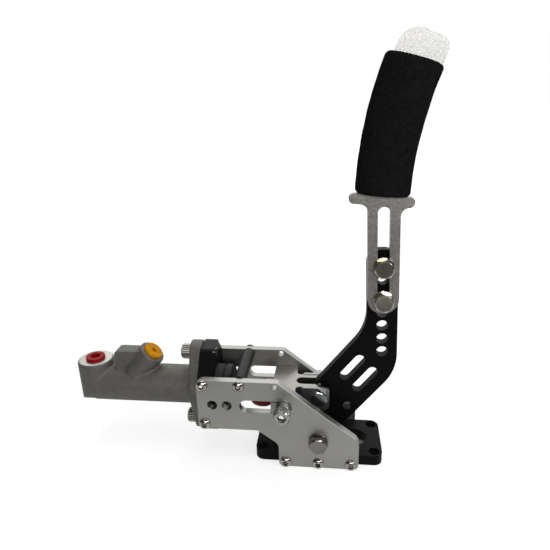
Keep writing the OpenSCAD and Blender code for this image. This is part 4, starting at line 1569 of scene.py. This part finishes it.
@dataclass
class Handle(Assembly):
    """Slotted handle plate with its foam grip."""

    arm: Arm = field(default_factory=Arm)
    guard_along: float = 0.1216
    guard_side: float = -0.0018
    guard_rise: float = 0.004
    lean: float = 4.4
    foot_lean: float = 1.3
    curve_r: float = 0.2685
    tip_lean: float = 16.0
    end_share: float = 0.25
    grip_l: float = 0.08925
    grip_w: float = 0.0386
    grip_depth: float = 0.03
    grip_power: float = 2.15
    end_r: float = 0.003
    end_angles: tuple[float, ...] = (0.0, 0.4, 0.8, 1.2)
    core_w: float = 0.0246
    core_t: float = 0.0066
    core_power: float = 9.0
    core_rows: int = 4
    slack: float = 0.0014
    mid_y: float = -0.0071
    sides: int = 72
    rows: int = 60
    dent: float = 0.00025
    dents: float = 120.0
    plate_edge: float = 0.0006
    plate_lean: float = 18.0
    tip_foot: Pair = (0.04713, 0.31511)
    tip_shift: Pair = (-0.00129, -0.00374)
    tip_turn: float = 1.2
    tip_width: float = 0.937
    tip_start: float = -0.02
    bend_from: Pair = (0.00925, 0.0074)
    bend_play: float = 0.0005
    bend_to: Pair = (0.0135, 0.0047)
    bend_grow: float = 1.4

    def on_curve(self, share: float, side: float) -> Pair:
        """Gives a place on the grip's curve; its ends lie along the guard and the tip.

        Args:
            share: The share of the grip's length.
            side: The distance to the rear of its middle.

        Returns:
            X and Z.
        """
        x, z = self.arm.at(self.guard_along, self.guard_side)
        lean, foot, tip = (math.radians(a) for a in (self.lean, self.foot_lean, self.tip_lean))
        turn = self.grip_l / self.curve_r
        heading = foot + turn * share
        x += self.guard_rise * math.sin(lean) + self.curve_r * (math.cos(foot) - math.cos(heading))
        z += self.guard_rise * math.cos(lean) + self.curve_r * (math.sin(heading) - math.sin(foot))
        at_foot = max(0.0, 1 - share / self.end_share)
        at_tip = max(0.0, 1 - (1 - share) / self.end_share)
        tilt = heading + (lean - foot) * at_foot + (tip - foot - turn) * at_tip
        return x + side * math.cos(tilt), z - side * math.sin(tilt)

    def loop(self, made: Mesh, share: float, size: Pair, power: float) -> list[bmesh.types.BMVert]:
        """Adds one closed loop across the grip.

        Args:
            made: The mesh.
            share: The share of the grip's length.
            size: The loop's width and depth.
            power: 2 for an oval, more for a squarer shape.

        Returns:
            The loop's corners.
        """
        row = []
        for k in range(self.sides):
            a = TAU * k / self.sides
            c, s = math.cos(a), math.sin(a)
            reach = (abs(c) ** power + abs(s) ** power) ** (-1 / power)
            x, z = self.on_curve(share, size[0] / 2 * reach * c)
            row.append(made.verts.new((x, self.mid_y + size[1] / 2 * reach * s, z)))
        return row

    def foam(self) -> Mesh:
        """Makes the foam sleeve, soft at both ends and open round the handle plate.

        Returns:
            The mesh.
        """
        made = bmesh.new()
        edge = self.end_r / self.grip_l
        ends = [(edge * (1 - math.cos(a)), self.end_r * (1 - math.sin(a))) for a in self.end_angles]
        shares = [(edge + (1 - 2 * edge) * k / self.rows, 0.0) for k in range(self.rows + 1)]
        shares = ends + shares + [(1 - share, inset) for share, inset in reversed(ends)]
        core, loose = (self.core_w, self.core_t), (self.core_w + 2 * self.slack, self.core_t)
        rows = [self.loop(made, 0.0, core, self.core_power)]
        for share, inset in shares:
            size = (self.grip_w - 2 * inset, self.grip_depth - 2 * inset)
            rows.append(self.loop(made, share, size, self.grip_power))
        for k in range(self.core_rows):
            share = 1 - k / self.core_rows
            rows.append(self.loop(made, share, loose if k else core, self.core_power))
        MeshBench.bridged(made, rows, loop=True)
        made.normal_update()
        for row in rows[2:-1 - self.core_rows]:
            for vert in row:
                vert.co += vert.normal * self.dent * noise.noise(vert.co * self.dents)
        return made

    def drawn_in(self, shape: Mesh) -> Mesh:
        """Draws the plate's tip down to the foam and rounds its front corner.

        Args:
            shape: The plate.

        Returns:
            The same mesh.
        """
        lean, after = math.radians(self.plate_lean), math.radians(self.plate_lean - self.tip_turn)
        foot_x, foot_z = self.tip_foot
        for vert in shape.verts:
            dx, dz = vert.co.x - foot_x, vert.co.z - foot_z
            across = dx * math.cos(lean) - dz * math.sin(lean)
            rise = dx * math.sin(lean) + dz * math.cos(lean)
            share = min(max(1 - rise / self.tip_start, 0.0), 1.0)
            if rise > self.bend_from[1] and across < self.bend_from[0] + self.bend_play:
                across = self.bend_to[0] + (across - self.bend_from[0]) * self.bend_grow
                rise = self.bend_to[1] + (rise - self.bend_from[1]) * self.bend_grow
            else:
                across *= self.tip_width
            x = foot_x + self.tip_shift[0] + across * math.cos(after) + rise * math.sin(after)
            z = foot_z + self.tip_shift[1] - across * math.sin(after) + rise * math.cos(after)
            vert.co.x += (x - vert.co.x) * share
            vert.co.z += (z - vert.co.z) * share
        return shape

    def build(self) -> None:
        """Makes the plate and the grip."""
        plate = self.drawn_in(MeshBench.from_node("handle_plate"))
        self.place("handle_plate", MeshBench.round_edges(plate, self.plate_edge))
        grip = self.place("grip", self.foam(), flat=False)

    def dress(self) -> None:
        """Leaves the plate blasted and the grip black."""
        self.finish(Finishes.BLASTED, "handle_plate")
        self.finish(Finishes.FOAM, "grip")


@dataclass(frozen=True)
class Softbox:
    """A rectangular studio lamp."""

    name: str
    place: Point
    target: Point
    size: Pair
    power: float
    diffuse: bool = True

    def build(self) -> None:
        """Adds the lamp, turned to its target."""
        data = bpy.data.lights.new(self.name, "AREA")
        data.shape = "RECTANGLE"
        data.size, data.size_y = self.size
        data.energy = self.power
        lamp = bpy.data.objects.new(self.name, data)
        lamp.location = self.place
        lamp.rotation_euler = (Vector(self.target) - Vector(self.place)).to_track_quat("-Z", "Y").to_euler()
        lamp.visible_camera = False
        lamp.visible_diffuse = self.diffuse
        bpy.context.scene.collection.objects.link(lamp)


@dataclass
class Studio:
    """White floor, soft lamps and the camera."""

    eye: Point = (0.0052426, -0.3444109, 0.2763054)
    azimuth: float = 6.64896
    pitch: float = 19.09358
    roll: float = -1.4672
    lens: float = 30.788
    sensor: float = 36.0
    clip: float = 0.01
    ambient: float = 0.2
    floor_size: float = 12.0
    floor_grey: float = 0.5
    floor_glow: float = 0.7
    far: Pair = (0.5, 1.6)
    far_glow: float = 0.4
    # Half the length and width of the box of painted shade under the base.
    shade_patch_half: Pair = (0.049, 0.0205)
    mirror_grey: float = 0.12
    mirror_glow: float = 0.4
    mirror_front: Pair = (-0.45, -0.05)
    mirror_low: float = 0.06
    sky_rise: Pair = (-0.2, 0.4)
    lamps: tuple[Softbox, ...] = (
        Softbox("top_box", (-0.1, 0.05, 1.1), (0.0, 0.0, 0.1), (1.2, 0.9), 4.0),
        Softbox("front_box", (0.15, -1.5, 0.6), (0.0, 0.0, 0.2), (1.1, 0.5), 6.5),
        Softbox("back_box", (0.0, 1.3, 1.0), (0.0, 0.0, 0.1), (2.0, 1.0), 5.7),
        Softbox("side_box", (1.0, -0.5, 0.7), (0.0, 0.0, 0.1), (0.7, 0.5), 5.0),
        Softbox("low_box", (0.41, -1.5, 0.6), (0.07, 0.0, 0.33), (0.45, 0.35), 4.4, diffuse=False),
    )

    def camera(self) -> None:
        """Adds the camera at the photograph's angle."""
        data = bpy.data.cameras.new("camera")
        data.sensor_width = self.sensor
        data.lens = self.lens
        data.clip_start = self.clip
        camera = bpy.data.objects.new("camera", data)
        turn = (
            Matrix.Rotation(math.radians(self.azimuth), 4, "Z")
            @ Matrix.Rotation(math.radians(90 - self.pitch), 4, "X")
            @ Matrix.Rotation(math.radians(self.roll), 4, "Z")
        )
        camera.matrix_world = Matrix.Translation(self.eye) @ turn
        bpy.context.scene.collection.objects.link(camera)
        bpy.context.scene.camera = camera

    @staticmethod
    def seen(bench: ShaderBench) -> tuple[Sock, Sock]:
        """Tells apart the rays that meet the floor or the sky.

        Args:
            bench: The bench of the floor or the sky.

        Returns:
            The masks of the camera's own rays and of reflected or refracted ones.
        """
        camera, glossy, clear = (
            bench.node("ShaderNodeLightPath", {}, {}, f"Is {kind} Ray")
            for kind in ("Camera", "Glossy", "Transmission")
        )
        return camera, glossy | clear

    def floor(self) -> None:
        """Adds the floor, which reads white and keeps the shadow, with painted shade under the base where its
        glow is cut.
        """
        half = self.floor_size / 2
        corners = [(-half, -half, 0), (half, -half, 0), (half, half, 0), (-half, half, 0)]
        mesh = bpy.data.meshes.new("floor")
        mesh.from_pydata(corners, [], [(0, 1, 2, 3)])
        plane = bpy.data.objects.new("floor", mesh)
        bpy.context.scene.collection.objects.link(plane)
        material = bpy.data.materials.new("floor")
        material.use_nodes = True
        bench = ShaderBench(material.node_tree)
        camera, mirrored = self.seen(bench)
        place = bench.point()
        near = place.along("Y").step(*self.mirror_front)
        greys = [(grey, grey, grey) for grey in (self.floor_grey, self.mirror_grey)]
        paper = bench.node("ShaderNodeBsdfDiffuse", {}, {"Color": (mirrored * (1 - near)).mix(*greys)})
        far = place.away((0.0, 0.0, 0.0)).step(*self.far)
        # Painted shade: the camera glow is cut off in a box under the base, so the floor there reads dark.
        below = bench.inside(place, self.shade_patch_half)
        seen = camera * (1 - below) * (self.floor_glow + far * self.far_glow)
        glow = seen | mirrored * near * self.mirror_glow
        light = bench.node("ShaderNodeEmission", {}, {"Color": glow, "Strength": 1.0})
        both = bench.node("ShaderNodeAddShader", {}, {0: paper, 1: light})
        bench.node("ShaderNodeOutputMaterial", {}, {"Surface": both})
        mesh.materials.append(material)

    def world(self) -> None:
        """Lights the scene softly and shows white behind the object."""
        world = bpy.data.worlds.new("studio")
        world.use_nodes = True
        bpy.context.scene.world = world
        bench = ShaderBench(world.node_tree)
        camera, mirrored = self.seen(bench)
        sky = bench.node("ShaderNodeTexCoord", {}, {}, "Generated")
        behind = sky.along("Y").step(*self.sky_rise)
        spread = (1 - (camera | mirrored)) * self.ambient
        strength = camera | mirrored * (behind * (1 - self.mirror_low) + self.mirror_low) | spread
        light = bench.node("ShaderNodeBackground", {}, {"Color": WHITE, "Strength": strength})
        bench.node("ShaderNodeOutputWorld", {}, {"Surface": light})

    def build(self) -> None:
        """Adds everything round the object."""
        self.camera()
        self.floor()
        self.world()
        for lamp in self.lamps:
            lamp.build()
        bpy.context.scene.view_settings.view_transform = "Standard"


def main() -> None:
    """Builds and dresses the part."""
    logging.basicConfig(level=logging.INFO, format="%(name)s: %(message)s")
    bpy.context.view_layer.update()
    Studio().build()
    for assembly in (SideFrame(), MasterCylinder(), Drive(), Pivot(), Lever(), Handle()):
        assembly.build()
        assembly.dress()
        LOG.info("%s: %d pieces", type(assembly).__name__, len(assembly.made))
    bpy.context.view_layer.update()


if __name__ == "__main__":
    main()
